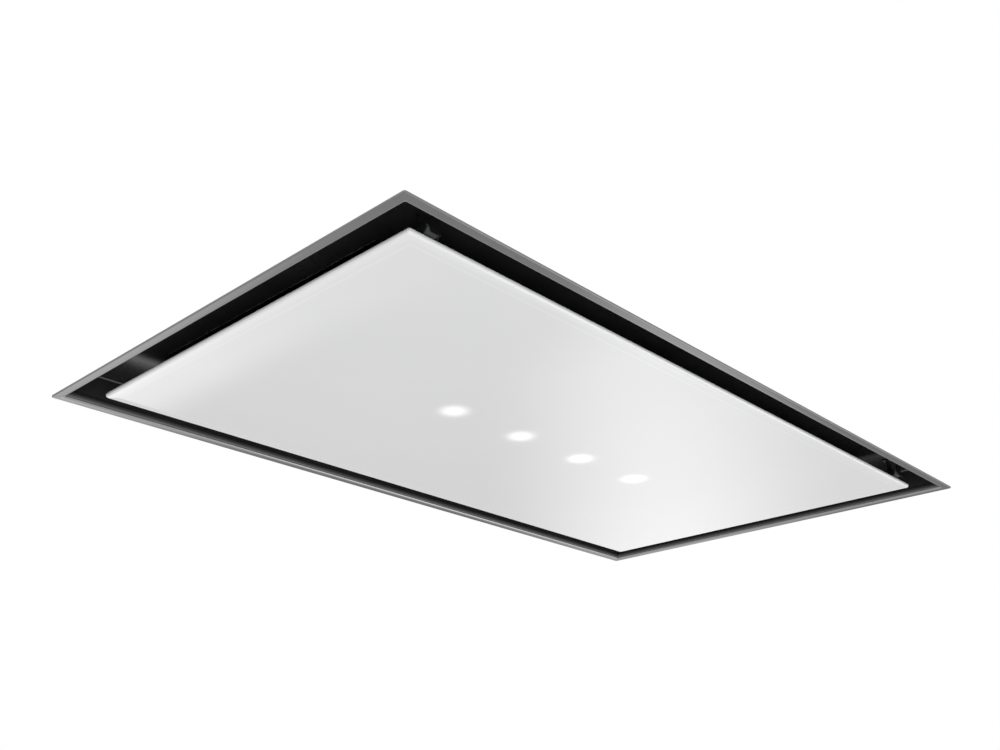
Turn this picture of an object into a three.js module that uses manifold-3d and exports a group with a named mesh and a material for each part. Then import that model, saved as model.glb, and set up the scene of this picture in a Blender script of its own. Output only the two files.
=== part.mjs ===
// Ceiling range hood, set flush in a suspended ceiling. Millimetres, +Z up, +X along the long side.
// The origin is the centre of the underside: Z = 0 is the visible face of the trim and of the glass.
// The front is -Y, where the panel's catches are. The panel hangs on two hinges at the back, +Y.
// Air enters the slot round the panel, passes two metal filters into the plenum, and a vertical
// centrifugal blower sends it out through a round collar with two non-return flaps.

import * as THREE from 'three';
import { mergeVertices } from 'three/addons/utils/BufferGeometryUtils.js';
import Module from 'manifold-3d';

const wasm = await Module();
wasm.setup();

// ---------- Driving dimensions ----------

// Sheet, and the gaps between pieces
const SHEET = 1;                     // steel sheet of the tray, the casing and the boxes
const SEAT = 0.1;                    // paint or bond line between two seated faces
const FIT = 0.3;                     // gap round a piece that drops into another
const RUNNING = 0.3;                 // radial gap of a pin in its hole
const REACH = 5;                     // how far a cutting tool goes past what it cuts
const BITE = 0.5;                    // how far one part of a solid reaches into the next
const HAIR = 0.01;                   // keeps two corners or faces from coinciding
const WELD = 1e-4;                   // corners nearer than this are one corner

// Trim frame and its foam seal
const FRAME_WIDTH = 900;
const FRAME_DEPTH = 500;
const FLANGE_WIDTH = 9.1;
const FLANGE_CORNER = 1.6;
const RECESS_CORNER = 0.8;
const TRIM_SHEET = 1;
const TRIM_ROLL = 2;                 // outside radius of the flange's inner bend
const TRIM_UPSTAND = 4.5;
const TRIM_LIP = 2;                  // height of the turned-up outer edge
const TRIM_EDGE = 0.33;              // chamfer under that edge
const SEAL_HEIGHT = 1.5;
const SEAL_MARGIN = 0.4;

// Recess tray, casing and plenum
const RECESS_DEPTH = 32;
const SHOULDER_GAP = 8;              // tray's ceiling to the casing's shoulder
const SHOULDER_WIDTH = 34;           // frame's edge to the plenum's wall
const PLENUM_CORNER = 8;
const CASING_TOP = 112;
const BEAD_HEIGHT = 2.4;             // stiffening beads pressed in the casing's top
const BEAD_WIDTH = 14;
const BEAD_MARGIN = 24;              // bead's end to the blower box and to the plenum's wall
const BEAD_ROWS = [-150, -60, 60, 150];

// Glass panel, its steel carrier and its lamps
const SLOT_X = 27.9;                 // air slot at the panel's short sides
const SLOT_Y = 25.9;                 // and at its long sides
const PANEL_CORNER = 5;
const GLASS = 5.5;
const GLASS_EDGE = 1.2;              // rounding of the glass edge
const CARRIER_INSET = 15;
const CARRIER_HEIGHT = 10;
const CARRIER_CORNER = 4;
const COVER_CHAMFER = 0.4;
const LAMP_PITCH = 100;
const LAMP_COUNT = 4;
const LAMP_LENS_RADIUS = 22;
const LENS_FLANGE = 1;
const LENS_RIM = 4;
const LENS_DOME = 2.2;
const LAMP_BODY_RADIUS = 27;
const LAMP_BODY_HEIGHT = 4.6;
const LAMP_BODY_WALL = 2;
const LAMP_BODY_LID = 1.4;
const LAMP_TOP_GAP = 1;              // fins to the top of the carrier
const LAMP_FINS = 6;
const LAMP_FIN = 2;
const LAMP_FIN_FROM = 8;

// Panel hinges
const HINGE_INSET = 83;              // hinge, from the panel's end
const HINGE_BEHIND = 1;              // axis behind the panel's back edge
const HINGE_LIFT = 0.4;              // axis above the carrier
const HINGE_WIDTH = 28;
const HINGE_EAR = 2;
const HINGE_EAR_RADIUS = 6;
const HINGE_FOOT = 28;
const HINGE_PLATE = 1.5;
const HINGE_PIN_RADIUS = 2.5;
const HINGE_PIN_HEAD = 1.2;
const HINGE_PIN_RIM = 1.4;
const HINGE_EYE_RADIUS = 5;
const HINGE_ARM_ROOT = 2;
const HINGE_ARM_DROP = 1;            // top of the arm's foot, below the axis
const HINGE_ARM_MARGIN = 5;

// Front catches
const CATCH_INSET = 25;              // catch, from the panel's end
const CATCH_REACH = 10;              // roller centre ahead of the carrier's front wall
const CATCH_DROP = 2.1;              // roller centre below the carrier's top
const ROLLER_RADIUS = 4.5;
const ROLLER_WIDTH = 12;
const ROLLER_CHAMFER = 0.8;
const CATCH_PIN_RADIUS = 1.5;
const CATCH_PIN_END = 0.8;
const CATCH_EAR = 1.2;
const CATCH_EAR_RADIUS = 3.4;
const CATCH_FOOT = 1;
const CATCH_FOOT_MARGIN = 6;
const CLIP_SHEET = 0.8;
const CLIP_GAP = 0.5;                // jaw to roller
const CLIP_FLARE = 1.6;
const CLIP_TIP = 1;                  // how far a jaw reaches below the roller
const CLIP_FOOT = 7;
const CLIP_NARROWER = 1;             // each side of the clip, inside the roller's edge

// Grease filters
const FILTER_SIDE = 28;              // filter's end to the plenum's wall
const FILTER_END = 66;               // filter's front and back edge to the plenum's wall
const FILTER_HEIGHT = 12;
const FILTER_GAP = 16;               // between the two filters
const FILTER_CORNER = 4;
const FILTER_INNER_CORNER = 0.5;
const FILTER_LIP = 8;
const FILTER_RAIL = 24;              // front rail that carries the latch
const FILTER_PLEATS = 28;
const FILTER_CORE = 1;
const CORE_UNDER_RAIL = 3;
const LATCH_WIDTH = 50;
const LATCH_DEPTH = 16;
const LATCH_HEIGHT = 2.6;
const LATCH_CORNER = 3;
const LATCH_ROUND = 1;
const LATCH_AT = 11;                 // centre of the grip, from the filter's front edge
const LATCH_TRAVEL = 6;
const DISH_MARGIN = 6;               // finger dish, inside the grip
const DISH_SLOPE = 2;
const NECK_FROM = 8;                 // the latch's neck, from the filter's front edge
const NECK_TO = 12;
const TONGUE_WIDTH = 16;
const TONGUE_REACH = 5;
const TONGUE_THICKNESS = 2;
const TONGUE_LIFT = 3;               // tongue and hooks, over the tray's lower face
const HOOK_INSET = 70;               // hook, from the filter's end
const HOOK_REACH = 4;

// Blower box on top of the casing
const BOX_Y = 0;
const BOX_AHEAD = 39;                // electronics box to the blower box
const BOX_CLEAR_X = 4;               // beyond the scroll's greatest radius
const BOX_CLEAR_Y = -5;
const BOX_MARGIN = 7.5;              // above and below the collar's flange
const BOX_CORNER = 5;
const BOX_FLANGE = 12;
const BOX_LID_EDGE = 6;              // lip of the lid, down over the box's walls

// Scroll and wheel, round the vertical blower axis
const BLOWER_SHIFT_X = -8;           // blower axis, from the box's centre
const BLOWER_SHIFT_Y = 14;
const SCROLL_GAP = 10;               // wheel to the scroll at its tongue
const SCROLL_GROWTH = 57;            // from the tongue round to the outlet
const TONGUE_ANGLE = -50;
const OUTLET_ANGLE = 270;            // where the spiral runs straight on into the outlet
const SCROLL_WALL = 2;
const SCROLL_SPACE = 9;              // scroll's top to the box's top
const SCROLL_STEPS = 32;
const INLET_GAP = 4;                 // bellmouth to the wheel's rim
const INLET_FLARE = 15;
const INLET_HEIGHT = 20;
const INLET_WALL = 1.4;
const INLET_FLANGE = 3;
const INLET_STEPS = 3;
const MOTOR_VENT = 30;
const WHEEL_RADIUS = 105;
const WHEEL_BAND = 15;               // radial depth of the blades
const WHEEL_LIFT = 14.9;             // wheel above the casing
const MOTOR_SPACE = 44;              // wheel's back to the scroll's top
const WHEEL_RIM = 3;
const WHEEL_PLATE = 2;
const WHEEL_DISH = 5;                // how far the back plate drops below the hub
const WHEEL_SLOPE = 22;
const WHEEL_EDGE = 1;
const WHEEL_BOSS = 6;
const BLADE_COUNT = 36;
const BLADE_THICKNESS = 1.3;
const BLADE_INSET = 1;
const BLADE_SWEEP = 8.5;             // degrees that a blade leans forward at its tip
const BLADE_STEPS = 2;
const ROTOR_RADIUS = 46;
const ROTOR_HEIGHT = 24;
const ROTOR_WALL = 2.5;
const ROTOR_FLOOR = 4.5;
const ROTOR_CHAMFER = 3;
const ROTOR_HOLES = 6;
const ROTOR_HOLE_RADIUS = 5;
const ROTOR_HOLE_INSET = 18;
const STATOR_RADIUS = 38;
const STATOR_CHAMFER = 3;
const STATOR_STEP = 2;
const STATOR_FLANGE = 58;
const STATOR_PLATE = 3;
const STATOR_RIBS = 6;
const STATOR_RIB = 2;
const STATOR_RIB_MARGIN = 4;
const MOTOR_GAP = 1.2;
const SHAFT_RADIUS = 5;
const SHAFT_REACH = 8;               // shaft end below the hub

// Duct collar and non-return flaps
const DUCT_RADIUS = 74.5;            // outside of the collar, for a 150 mm duct
const COLLAR_WALL = 1.5;
const COLLAR_LENGTH = 58;
const COLLAR_RIM = 11.5;             // width of the collar's flange
const COLLAR_PLATE = 1.5;
const COLLAR_BEAD_AT = 8;
const COLLAR_BEAD = 2;
const COLLAR_TAPER = 0.5;
const FLAP_AT = 22;                  // flap pin, from the box wall
const FLAP_SHEET = 1.2;
const FLAP_GAP = 1.2;                // flap edge to the collar's bore
const FLAP_PIN_RADIUS = 1.5;
const FLAP_KNUCKLE_RADIUS = 3.6;
const FLAP_KNUCKLE_GAP = 4;          // knuckle to the duct's axis
const FLAP_KNUCKLE_END = 12;         // knuckle to the flap's edge
const FLAP_RIB = 2;
const FLAP_RIB_WIDTH = 1.5;
const FLAP_RIB_AT = 32;
const FLAP_RIB_LENGTH = 86;
const FLAP_STEPS = 20;
const FLAP_SEAT = 3.5;               // lip in the bore that the flaps close on
const FLAP_SEAT_GAP = 1;
const FLAP_SEAT_DEPTH = 2;
const FLAP_PIN_END = 1;

// Electronics on top of the casing
const CONTROL_SIDE = 21;             // electronics box to the plenum's wall
const CONTROL_Y = -10;
const CONTROL_WIDTH = 150;
const CONTROL_DEPTH = 240;
const CONTROL_HEIGHT = 52;
const CONTROL_CORNER = 4;
const LID_EDGE = 9;
const BOARD = 1.6;
const BOARD_INSET = 12;              // board to the box's side walls
const BOARD_FRONT = 10;              // board to the box's front wall
const BOARD_BACK = 30;               // board's back edge, behind the box's centre
const BOARD_FOOT_RADIUS = 3;
const BOARD_FOOT_INSET = 6;
const STANDOFF = 5;
const PART_ROOT = 0.2;               // how far a board part reaches into the board
const COIL = { x: 32, y: 28, z: 24, at: [-34, 34] };
const SINK = { x: 40, y: 6, z: 26, at: [30, 23] };
const CHIP = { x: 16, y: 16, z: 2, at: [0, 104] };
const CAN = { radius: 8, z: 22, first: -30, pitch: 24, count: 3, y: 72 };
const SUPPLY = { x: 19, y: 30, z: 22, r: 2, chamfer: 2, at: [32, 49] };
const TERMINAL = { x: 48, y: 20, z: 18, at: [12, 52] };
const WAY = { count: 5, pitch: 9, width: 6, depth: 7, low: 5, high: 11, margin: 3.4 };
const WELL = { radius: 2.4, depth: 4, y: 12 };
const GLAND_RADIUS = 9;
const GLAND_AT = 36;                 // gland, to the right of the box's centre
const GLAND_BORE = 5;
const GLAND_TAIL = 10;
const GLAND_HEX = 3.6;
const GLAND_HEX_LENGTH = 5;
const GLAND_DOME = 2;
const GLAND_LENGTH = 19;
const NUT_RIM = 4;
const NUT = 4;
const NUT_SIDES = 6;
const MOTOR_LEAD_RADIUS = 3.5;
const MOTOR_LEAD_Y = -60;
const MOTOR_LEAD_SAG = 4;
const MOTOR_LEAD_INSIDE = 12;
const LEAD_STRAIGHT = 5;             // a lead's straight run each side of a wall
const GROMMET_LIP = 2;
const GROMMET_DOME = 0.4;
const GROMMET_WALL = 2.2;
const LAMP_LEAD_RADIUS = 2.2;
const LAMP_LEAD_TOP = [25, 12];      // lamp lead's top, from the box's left and back walls
const LAMP_LEAD_SIDE = 42;           // lamp lead in the tray, outside the left hinge
const LAMP_LEAD_FRONT = 8;           // and ahead of the hinge axis
const LOOM_SIDE = 22;                // the panel's lead, outside the left hinge
const LEAD_MEET_SIDE = 28;           // where the two lamp leads meet on the hinge axis
const LOOM_RISE = 4;
const LOOM_TURN = 60;

// Hanging brackets
const HANGER_INSET = 66;             // hanger, from the plenum's corner
const HANGER_WIDTH = 50;
const HANGER_SHEET = 2;
const HANGER_DROP = 46;
const HANGER_REACH = 25;
const HANGER_TOP_GAP = 4;            // leaf below the casing's top
const HANGER_GUSSET = 20;
const ROD_SLOT_RADIUS = 4.5;         // slot for an M8 threaded rod
const ROD_SLOT_LENGTH = 16;

// Facets
const CORNER_STEPS = 2;
const GLASS_CORNER_STEPS = 4;
const GLASS_EDGE_STEPS = 3;
const TRIM_ROLL_STEPS = 3;
const LENS_STEPS = 3;
const EAR_STEPS = 8;
const BIG_ROUND = 28;
const ROUND = 16;
const SMALL_ROUND = 8;
const LAMP_ROUND = 12;
const LEAD_SIDES = 6;
const LOOM_STEPS = 28;
const LAMP_LEAD_STEPS = 26;
const MOTOR_LEAD_STEPS = 12;
const QUARTER = 90;

// ---------- Sizes that follow ----------

const radians = THREE.MathUtils.degToRad;
const count = (n) => Array.from({ length: n }, (_, i) => i);

const FLANGE_Z = TRIM_SHEET + SEAT;
const SKIRT_Z = FLANGE_Z + TRIM_ROLL / 4;
const RECESS_X = FRAME_WIDTH / 2 - FLANGE_WIDTH;
const RECESS_Y = FRAME_DEPTH / 2 - FLANGE_WIDTH;
const PANEL_WIDTH = 2 * (RECESS_X - SLOT_X);
const PANEL_DEPTH = 2 * (RECESS_Y - SLOT_Y);
const TRAY_X = RECESS_X + SHEET;
const TRAY_Y = RECESS_Y + SHEET;
const SKIRT_X = TRAY_X + FIT + SHEET;
const SKIRT_Y = TRAY_Y + FIT + SHEET;
const PLENUM_X = FRAME_WIDTH / 2 - SHOULDER_WIDTH;
const PLENUM_Y = FRAME_DEPTH / 2 - SHOULDER_WIDTH;
const SHOULDER_Z = RECESS_DEPTH + SHOULDER_GAP;
const DECK_Z = CASING_TOP + SEAT;    // where things stand on the casing
const CARRIER_X = PANEL_WIDTH / 2 - CARRIER_INSET;
const CARRIER_Y = PANEL_DEPTH / 2 - CARRIER_INSET;
const CARRIER_Z = GLASS + SEAT;
const CARRIER_TOP = CARRIER_Z + CARRIER_HEIGHT;
const CARRIER_FLOOR = CARRIER_Z + SHEET;
const HINGE_X = PANEL_WIDTH / 2 - HINGE_INSET;
const HINGE_Y = PANEL_DEPTH / 2 + HINGE_BEHIND;
const HINGE_Z = CARRIER_TOP + HINGE_LIFT;
const CATCH_X = PANEL_WIDTH / 2 - CATCH_INSET;
const CATCH_Z = CARRIER_TOP - CATCH_DROP;
const ROLLER_Y = -CARRIER_Y - CATCH_REACH;
const FILTER_WIDTH = PLENUM_X - FILTER_SIDE - FILTER_GAP / 2;
const FILTER_DEPTH = 2 * (PLENUM_Y - FILTER_END);
const FILTER_SPACING = FILTER_WIDTH + FILTER_GAP;
const HOOK_X = FILTER_WIDTH / 2 - HOOK_INSET;
const FILTER_TOP = RECESS_DEPTH + FILTER_HEIGHT;
const FILTER_CENTRES = [-FILTER_SPACING / 2, FILTER_SPACING / 2];
const LAMP_CENTRES = count(LAMP_COUNT).map((i) => (i - (LAMP_COUNT - 1) / 2) * LAMP_PITCH);
const TONGUE_Z = RECESS_DEPTH + TONGUE_LIFT;
const CONTROL_X = CONTROL_SIDE + CONTROL_WIDTH / 2 - PLENUM_X;
const CONTROL_RIGHT = CONTROL_X + CONTROL_WIDTH / 2;
const CONTROL_BACK = CONTROL_Y + CONTROL_DEPTH / 2;
const CONTROL_FLOOR = DECK_Z + SHEET;
const LEAD_Z = DECK_Z + CONTROL_HEIGHT / 2;
const SCROLL_START = WHEEL_RADIUS + SCROLL_GAP;
const SCROLL_END = SCROLL_START + SCROLL_GROWTH;
const BOX_WIDTH = 2 * (SCROLL_END + BOX_CLEAR_X);
const BOX_DEPTH = 2 * (SCROLL_END + BOX_CLEAR_Y);
const BOX_LEFT = CONTROL_RIGHT + BOX_AHEAD;
const BOX_X = BOX_LEFT + BOX_WIDTH / 2;
const BOX_RIGHT = BOX_X + BOX_WIDTH / 2;
const BLOWER_X = BOX_X + BLOWER_SHIFT_X;
const BLOWER_Y = BOX_Y + BLOWER_SHIFT_Y;
const COLLAR_FLANGE = DUCT_RADIUS + COLLAR_RIM;
const COLLAR_Z = CASING_TOP + COLLAR_FLANGE + BOX_MARGIN;
const TOTAL_HEIGHT = COLLAR_Z + COLLAR_FLANGE + BOX_MARGIN;
const SCROLL_TOP = TOTAL_HEIGHT - SCROLL_SPACE;
const SCROLL_SPLIT = COLLAR_Z;
const WHEEL_INNER = WHEEL_RADIUS - WHEEL_BAND;
const WHEEL_BOTTOM = DECK_Z + WHEEL_LIFT;
const INLET_RADIUS = WHEEL_INNER - INLET_GAP;
const INLET_LIP = INLET_RADIUS + INLET_FLARE;
const OUTLET_X = BOX_RIGHT - SHEET - FIT - BLOWER_X;
const DUCT_Y = BLOWER_Y - SCROLL_END + DUCT_RADIUS;
const FLAP_X = BOX_RIGHT + FLAP_AT;
const BORE_RADIUS = DUCT_RADIUS - COLLAR_WALL;
const HUB_Z = SCROLL_TOP - MOTOR_SPACE;
const ROTOR_TOP = HUB_Z + ROTOR_HEIGHT;
const HANGER_Y = PLENUM_Y - HANGER_INSET;
const BEAD_LENGTH = PLENUM_X - BOX_RIGHT - BOX_FLANGE - 2 * BEAD_MARGIN;
const BEAD_X = (BOX_RIGHT + BOX_FLANGE + PLENUM_X) / 2;
const GROMMET_BORE = MOTOR_LEAD_RADIUS + GROMMET_WALL;
const GLAND_X = CONTROL_X + GLAND_AT;
const LAMP_LEAD_BORE = LAMP_LEAD_RADIUS + 3 * FIT;
const LAMP_LEAD_TOP_X = CONTROL_X - CONTROL_WIDTH / 2 + LAMP_LEAD_TOP[0];
const LAMP_LEAD_TOP_Y = CONTROL_BACK - LAMP_LEAD_TOP[1];
const LAMP_LEAD_X = -HINGE_X - LAMP_LEAD_SIDE;
const LAMP_LEAD_Y = HINGE_Y - LAMP_LEAD_FRONT;
const LOOM_X = -HINGE_X - LOOM_SIDE;
const LOOM_Z = CARRIER_FLOOR + LOOM_RISE;
const LEAD_MEET = -HINGE_X - LEAD_MEET_SIDE;


// ---------- Finishes ----------

const FINISHES = {
  brushedSteel: { color: 0x8c8d8f, roughness: 0.34, metalness: 1 },
  galvanised: { color: 0xb4b8bb, roughness: 0.45, metalness: 1 },
  glossBlack: { color: 0x0a0a0b, roughness: 0.12, metalness: 0 },
  whiteGlass: { color: 0xe9eaec, roughness: 0.06, metalness: 0 },
  foam: { color: 0x2c2d2f, roughness: 0.95, metalness: 0 },
  lens: { color: 0xf4f6fb, roughness: 0.2, metalness: 0 },
  aluminium: { color: 0xc3c6c9, roughness: 0.4, metalness: 1 },
  zinc: { color: 0xa9adb0, roughness: 0.3, metalness: 1 },
  blackPlastic: { color: 0x17181a, roughness: 0.5, metalness: 0 },
  greyPlastic: { color: 0x5b5f63, roughness: 0.55, metalness: 0 },
  board: { color: 0x1e5c38, roughness: 0.5, metalness: 0 },
  greenPlastic: { color: 0x2f7d4e, roughness: 0.5, metalness: 0 },
  rubber: { color: 0x141414, roughness: 0.9, metalness: 0 },
  greyLead: { color: 0x8a8d90, roughness: 0.6, metalness: 0 },
};

// ---------- Solids ----------

/** A closed geometry as a solid, with its shared corners merged. */
function solid(geometry) {
  geometry.deleteAttribute('normal');
  geometry.deleteAttribute('uv');
  const welded = mergeVertices(geometry, WELD);
  const corners = welded.index.array;
  const kept = [];
  for (let i = 0; i < corners.length; i += 3) {
    const [a, b, c] = corners.slice(i, i + 3);
    if (a !== b && b !== c && c !== a) kept.push(a, b, c);
  }
  return new wasm.Manifold(new wasm.Mesh({
    numProp: 3,
    vertProperties: new Float32Array(welded.attributes.position.array),
    triVerts: Uint32Array.from(kept),
  }));
}

/** A named mesh of one solid, with a material of its own. */
function piece(name, body, finish) {
  const { vertProperties, triVerts } = body.getMesh();
  const geometry = new THREE.BufferGeometry();
  geometry.setAttribute('position', new THREE.BufferAttribute(new Float32Array(vertProperties), 3));
  geometry.setIndex(Array.from(triVerts));
  geometry.computeVertexNormals();
  const mesh = new THREE.Mesh(geometry, new THREE.MeshStandardMaterial(FINISHES[finish]));
  mesh.name = name;
  return mesh;
}

const join = (first, ...rest) => rest.reduce((whole, one) => whole.add(one), first);
const cut = (first, ...tools) => tools.reduce((whole, one) => whole.subtract(one), first);
const moved = (body, x, y, z) => body.translate([x, y, z]);

/** Copies of a solid, evenly spaced round the Z axis. */
const around = (body, n) => count(n).map((i) => body.rotate([0, 0, (4 * QUARTER * i) / n]));

/** A box between two corners. */
function block(x0, x1, y0, y1, z0, z1) {
  const geometry = new THREE.BoxGeometry(x1 - x0, y1 - y0, z1 - z0);
  geometry.translate((x0 + x1) / 2, (y0 + y1) / 2, (z0 + z1) / 2);
  return solid(geometry);
}

/** The corners of a rounded rectangle, counter-clockwise. */
function roundedRectangle({ x, y, r, steps = CORNER_STEPS }) {
  const centres = [[x - r, y - r], [r - x, y - r], [r - x, r - y], [x - r, r - y]];
  return centres.flatMap(([cx, cy], quarter) => count(steps + 1).map((i) => {
    const angle = radians(QUARTER * (quarter + i / steps));
    return [cx + r * Math.cos(angle), cy + r * Math.sin(angle)];
  }));
}

/** A solid through rounded rectangles {x, y, r, z}: capped at both ends, or closed into a ring. */
function loft(sections, closed = false) {
  const rings = sections.map(roundedRectangle);
  const size = rings[0].length;
  const points = rings.flatMap((ring, k) => ring.flatMap(([x, y]) => [x, y, sections[k].z]));
  const faces = [];
  const links = closed ? sections.length : sections.length - 1;
  for (let k = 0; k < links; k += 1) {
    const low = k * size;
    const high = ((k + 1) % sections.length) * size;
    for (let i = 0; i < size; i += 1) {
      const next = (i + 1) % size;
      faces.push(low + i, low + next, high + next, low + i, high + next, high + i);
    }
  }
  const last = (sections.length - 1) * size;
  for (let i = 1; !closed && i < size - 1; i += 1) {
    faces.push(0, i + 1, i, last, last + i, last + i + 1);
  }
  const geometry = new THREE.BufferGeometry();
  geometry.setAttribute('position', new THREE.BufferAttribute(new Float32Array(points), 3));
  geometry.setIndex(faces);
  return solid(geometry);
}

/** A flat plate with rounded corners. */
const plate = (x, y, r, z0, z1) => loft([{ x, y, r, z: z0 }, { x, y, r, z: z1 }]);

/** A box of sheet, open below: walls from z0 up to a lid whose top is z1. */
function hoodShell(x, y, r, z0, z1, sheet = SHEET) {
  return loft([
    { x: x - sheet, y: y - sheet, r: r - sheet, z: z1 - sheet },
    { x: x - sheet, y: y - sheet, r: r - sheet, z: z0 },
    { x, y, r, z: z0 },
    { x, y, r, z: z1 },
  ]);
}

/** A pan of sheet, open above: a floor at z0 and walls up to z1. */
function pan(x, y, r, z0, z1, sheet = SHEET) {
  return loft([
    { x, y, r, z: z0 },
    { x, y, r, z: z1 },
    { x: x - sheet, y: y - sheet, r: r - sheet, z: z1 },
    { x: x - sheet, y: y - sheet, r: r - sheet, z: z0 + sheet },
  ]);
}

/** A solid of revolution about Z from a closed outline of [radius, z]. */
function revolve(outline, segments = ROUND) {
  const area = outline.reduce((sum, [r, z], i) => {
    const [nextR, nextZ] = outline[(i + 1) % outline.length];
    return sum + r * nextZ - nextR * z;
  }, 0);
  const ordered = area > 0 ? outline : [...outline].reverse();
  const points = [...ordered, ordered[0]].map(([r, z]) => new THREE.Vector2(r, z));
  const geometry = new THREE.LatheGeometry(points, segments);
  geometry.rotateX(Math.PI / 2);
  return solid(geometry);
}

/** An upright cylinder. */
function rod(radius, z0, z1, segments = SMALL_ROUND) {
  const geometry = new THREE.CylinderGeometry(radius, radius, z1 - z0, segments);
  geometry.rotateX(Math.PI / 2);
  geometry.translate(0, 0, (z0 + z1) / 2);
  return solid(geometry);
}

/** An outline of [x, y] raised from z0 to z1. */
function raised(outline, z0, z1) {
  const shape = new THREE.Shape(outline.map(([x, y]) => new THREE.Vector2(x, y)));
  const geometry = new THREE.ExtrudeGeometry(shape, { depth: z1 - z0, bevelEnabled: false });
  geometry.translate(0, 0, z0);
  return solid(geometry);
}

/** An outline of [y, z] drawn along X from x0 to x1. */
const alongX = (outline, x0, x1) => raised(outline, x0, x1).rotate([QUARTER, 0, QUARTER]);

/** An outline of [x, z] drawn along Y from y0 to y1. */
const alongY = (outline, y0, y1) => raised(outline, -y1, -y0).rotate([QUARTER, 0, 0]);

/** A round lead or wire along a smooth curve through its points. */
function lead(points, radius, steps) {
  const circle = new THREE.Shape(count(LEAD_SIDES).map((i) => {
    const angle = (2 * Math.PI * i) / LEAD_SIDES;
    return new THREE.Vector2(radius * Math.cos(angle), radius * Math.sin(angle));
  }));
  const curve = new THREE.CatmullRomCurve3(points.map(([x, y, z]) => new THREE.Vector3(x, y, z)));
  return solid(new THREE.ExtrudeGeometry(circle, { steps, extrudePath: curve }));
}

// ---------- Trim, seal, tray and casing ----------

/** A ring section at an inward distance from the flange's outer edge. */
function trimSection(inward, z) {
  const r = inward > FLANGE_WIDTH / 2
    ? RECESS_CORNER + FLANGE_WIDTH - inward
    : Math.max(FLANGE_CORNER - inward, RECESS_CORNER);
  return { x: FRAME_WIDTH / 2 - inward, y: FRAME_DEPTH / 2 - inward, r, z };
}

/** The visible trim: a flat flange with a rolled inner bend and a turned-up outer edge. */
function trimFrame() {
  const rollAt = FLANGE_WIDTH - TRIM_ROLL;
  const arc = (radius, from, to) => count(TRIM_ROLL_STEPS + 1).map((i) => {
    const angle = radians(from + ((to - from) * i) / TRIM_ROLL_STEPS);
    return trimSection(rollAt + radius * Math.cos(angle), TRIM_ROLL + radius * Math.sin(angle));
  });
  return loft([
    trimSection(TRIM_EDGE, 0),
    trimSection(0, TRIM_EDGE),
    trimSection(0, TRIM_LIP),
    trimSection(TRIM_SHEET, TRIM_LIP),
    trimSection(TRIM_SHEET, TRIM_SHEET),
    ...arc(TRIM_ROLL - TRIM_SHEET, -QUARTER, 0),
    trimSection(FLANGE_WIDTH - TRIM_SHEET, TRIM_UPSTAND),
    trimSection(FLANGE_WIDTH, TRIM_UPSTAND),
    ...arc(TRIM_ROLL, 0, -QUARTER),
  ], true);
}

/** The foam strip on the flange, which the ceiling board rests on. */
function ceilingSeal() {
  const outer = TRIM_SHEET + SEAL_MARGIN;
  const inner = FRAME_WIDTH / 2 - SKIRT_X - SEAL_MARGIN;
  const top = FLANGE_Z + SEAL_HEIGHT;
  return loft([
    trimSection(outer, FLANGE_Z),
    trimSection(outer, top),
    trimSection(inner, top),
    trimSection(inner, FLANGE_Z),
  ], true);
}

/** The upturned collar round a filter, with a ledge that the filter's top meets. */
function filterCollar() {
  const x = FILTER_WIDTH / 2 + FIT;
  const y = FILTER_DEPTH / 2 + FIT;
  const r = FILTER_CORNER;
  const ledge = FILTER_LIP / 2;
  const top = FILTER_TOP + SEAT;
  return loft([
    { x: x + SHEET, y: y + SHEET, r: r + SHEET, z: RECESS_DEPTH },
    { x: x + SHEET, y: y + SHEET, r: r + SHEET, z: top + SHEET },
    { x: x - ledge, y: y - ledge, r, z: top + SHEET },
    { x: x - ledge, y: y - ledge, r, z: top },
    { x, y, r, z: top },
    { x, y, r, z: RECESS_DEPTH },
  ], true);
}

/** Slots in a filter collar for the latch tongue and the two rear hooks. */
function collarSlots() {
  const y = FILTER_DEPTH / 2;
  const z0 = TONGUE_Z - RUNNING;
  const z1 = TONGUE_Z + TONGUE_THICKNESS + RUNNING;
  const half = TONGUE_WIDTH / 2 + RUNNING;
  const front = block(-half, half, -y - REACH, -y + FIT, z0, z1);
  const hooks = [-HOOK_X, HOOK_X].map((x) => block(x - half, x + half, y - FIT, y + REACH, z0, z1));
  return [front, ...hooks];
}

/** The gloss black lining of the recess: walls, ceiling and the two filter collars. */
function recessTray() {
  const bottom = TRIM_UPSTAND + SEAT;
  const r = RECESS_CORNER;
  const lining = loft([
    { x: RECESS_X, y: RECESS_Y, r, z: RECESS_DEPTH },
    { x: RECESS_X, y: RECESS_Y, r, z: bottom },
    { x: TRAY_X, y: TRAY_Y, r: r + SHEET, z: bottom },
    { x: TRAY_X, y: TRAY_Y, r: r + SHEET, z: RECESS_DEPTH + SHEET },
  ]);
  const mouth = plate(
    FILTER_WIDTH / 2 + FIT, FILTER_DEPTH / 2 + FIT, FILTER_CORNER,
    RECESS_DEPTH - REACH, RECESS_DEPTH + REACH,
  );
  const opened = FILTER_CENTRES.reduce((tray, x) => cut(tray, moved(mouth, x, 0, 0)), lining);
  const collared = FILTER_CENTRES.reduce((tray, x) => {
    const collar = cut(filterCollar(), ...collarSlots());
    return join(tray, moved(collar, x, 0, 0));
  }, opened);
  const leadHole = rod(LAMP_LEAD_BORE, RECESS_DEPTH - REACH, RECESS_DEPTH + REACH);
  return cut(collared, moved(leadHole, LAMP_LEAD_X, LAMP_LEAD_Y, 0));
}

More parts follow.
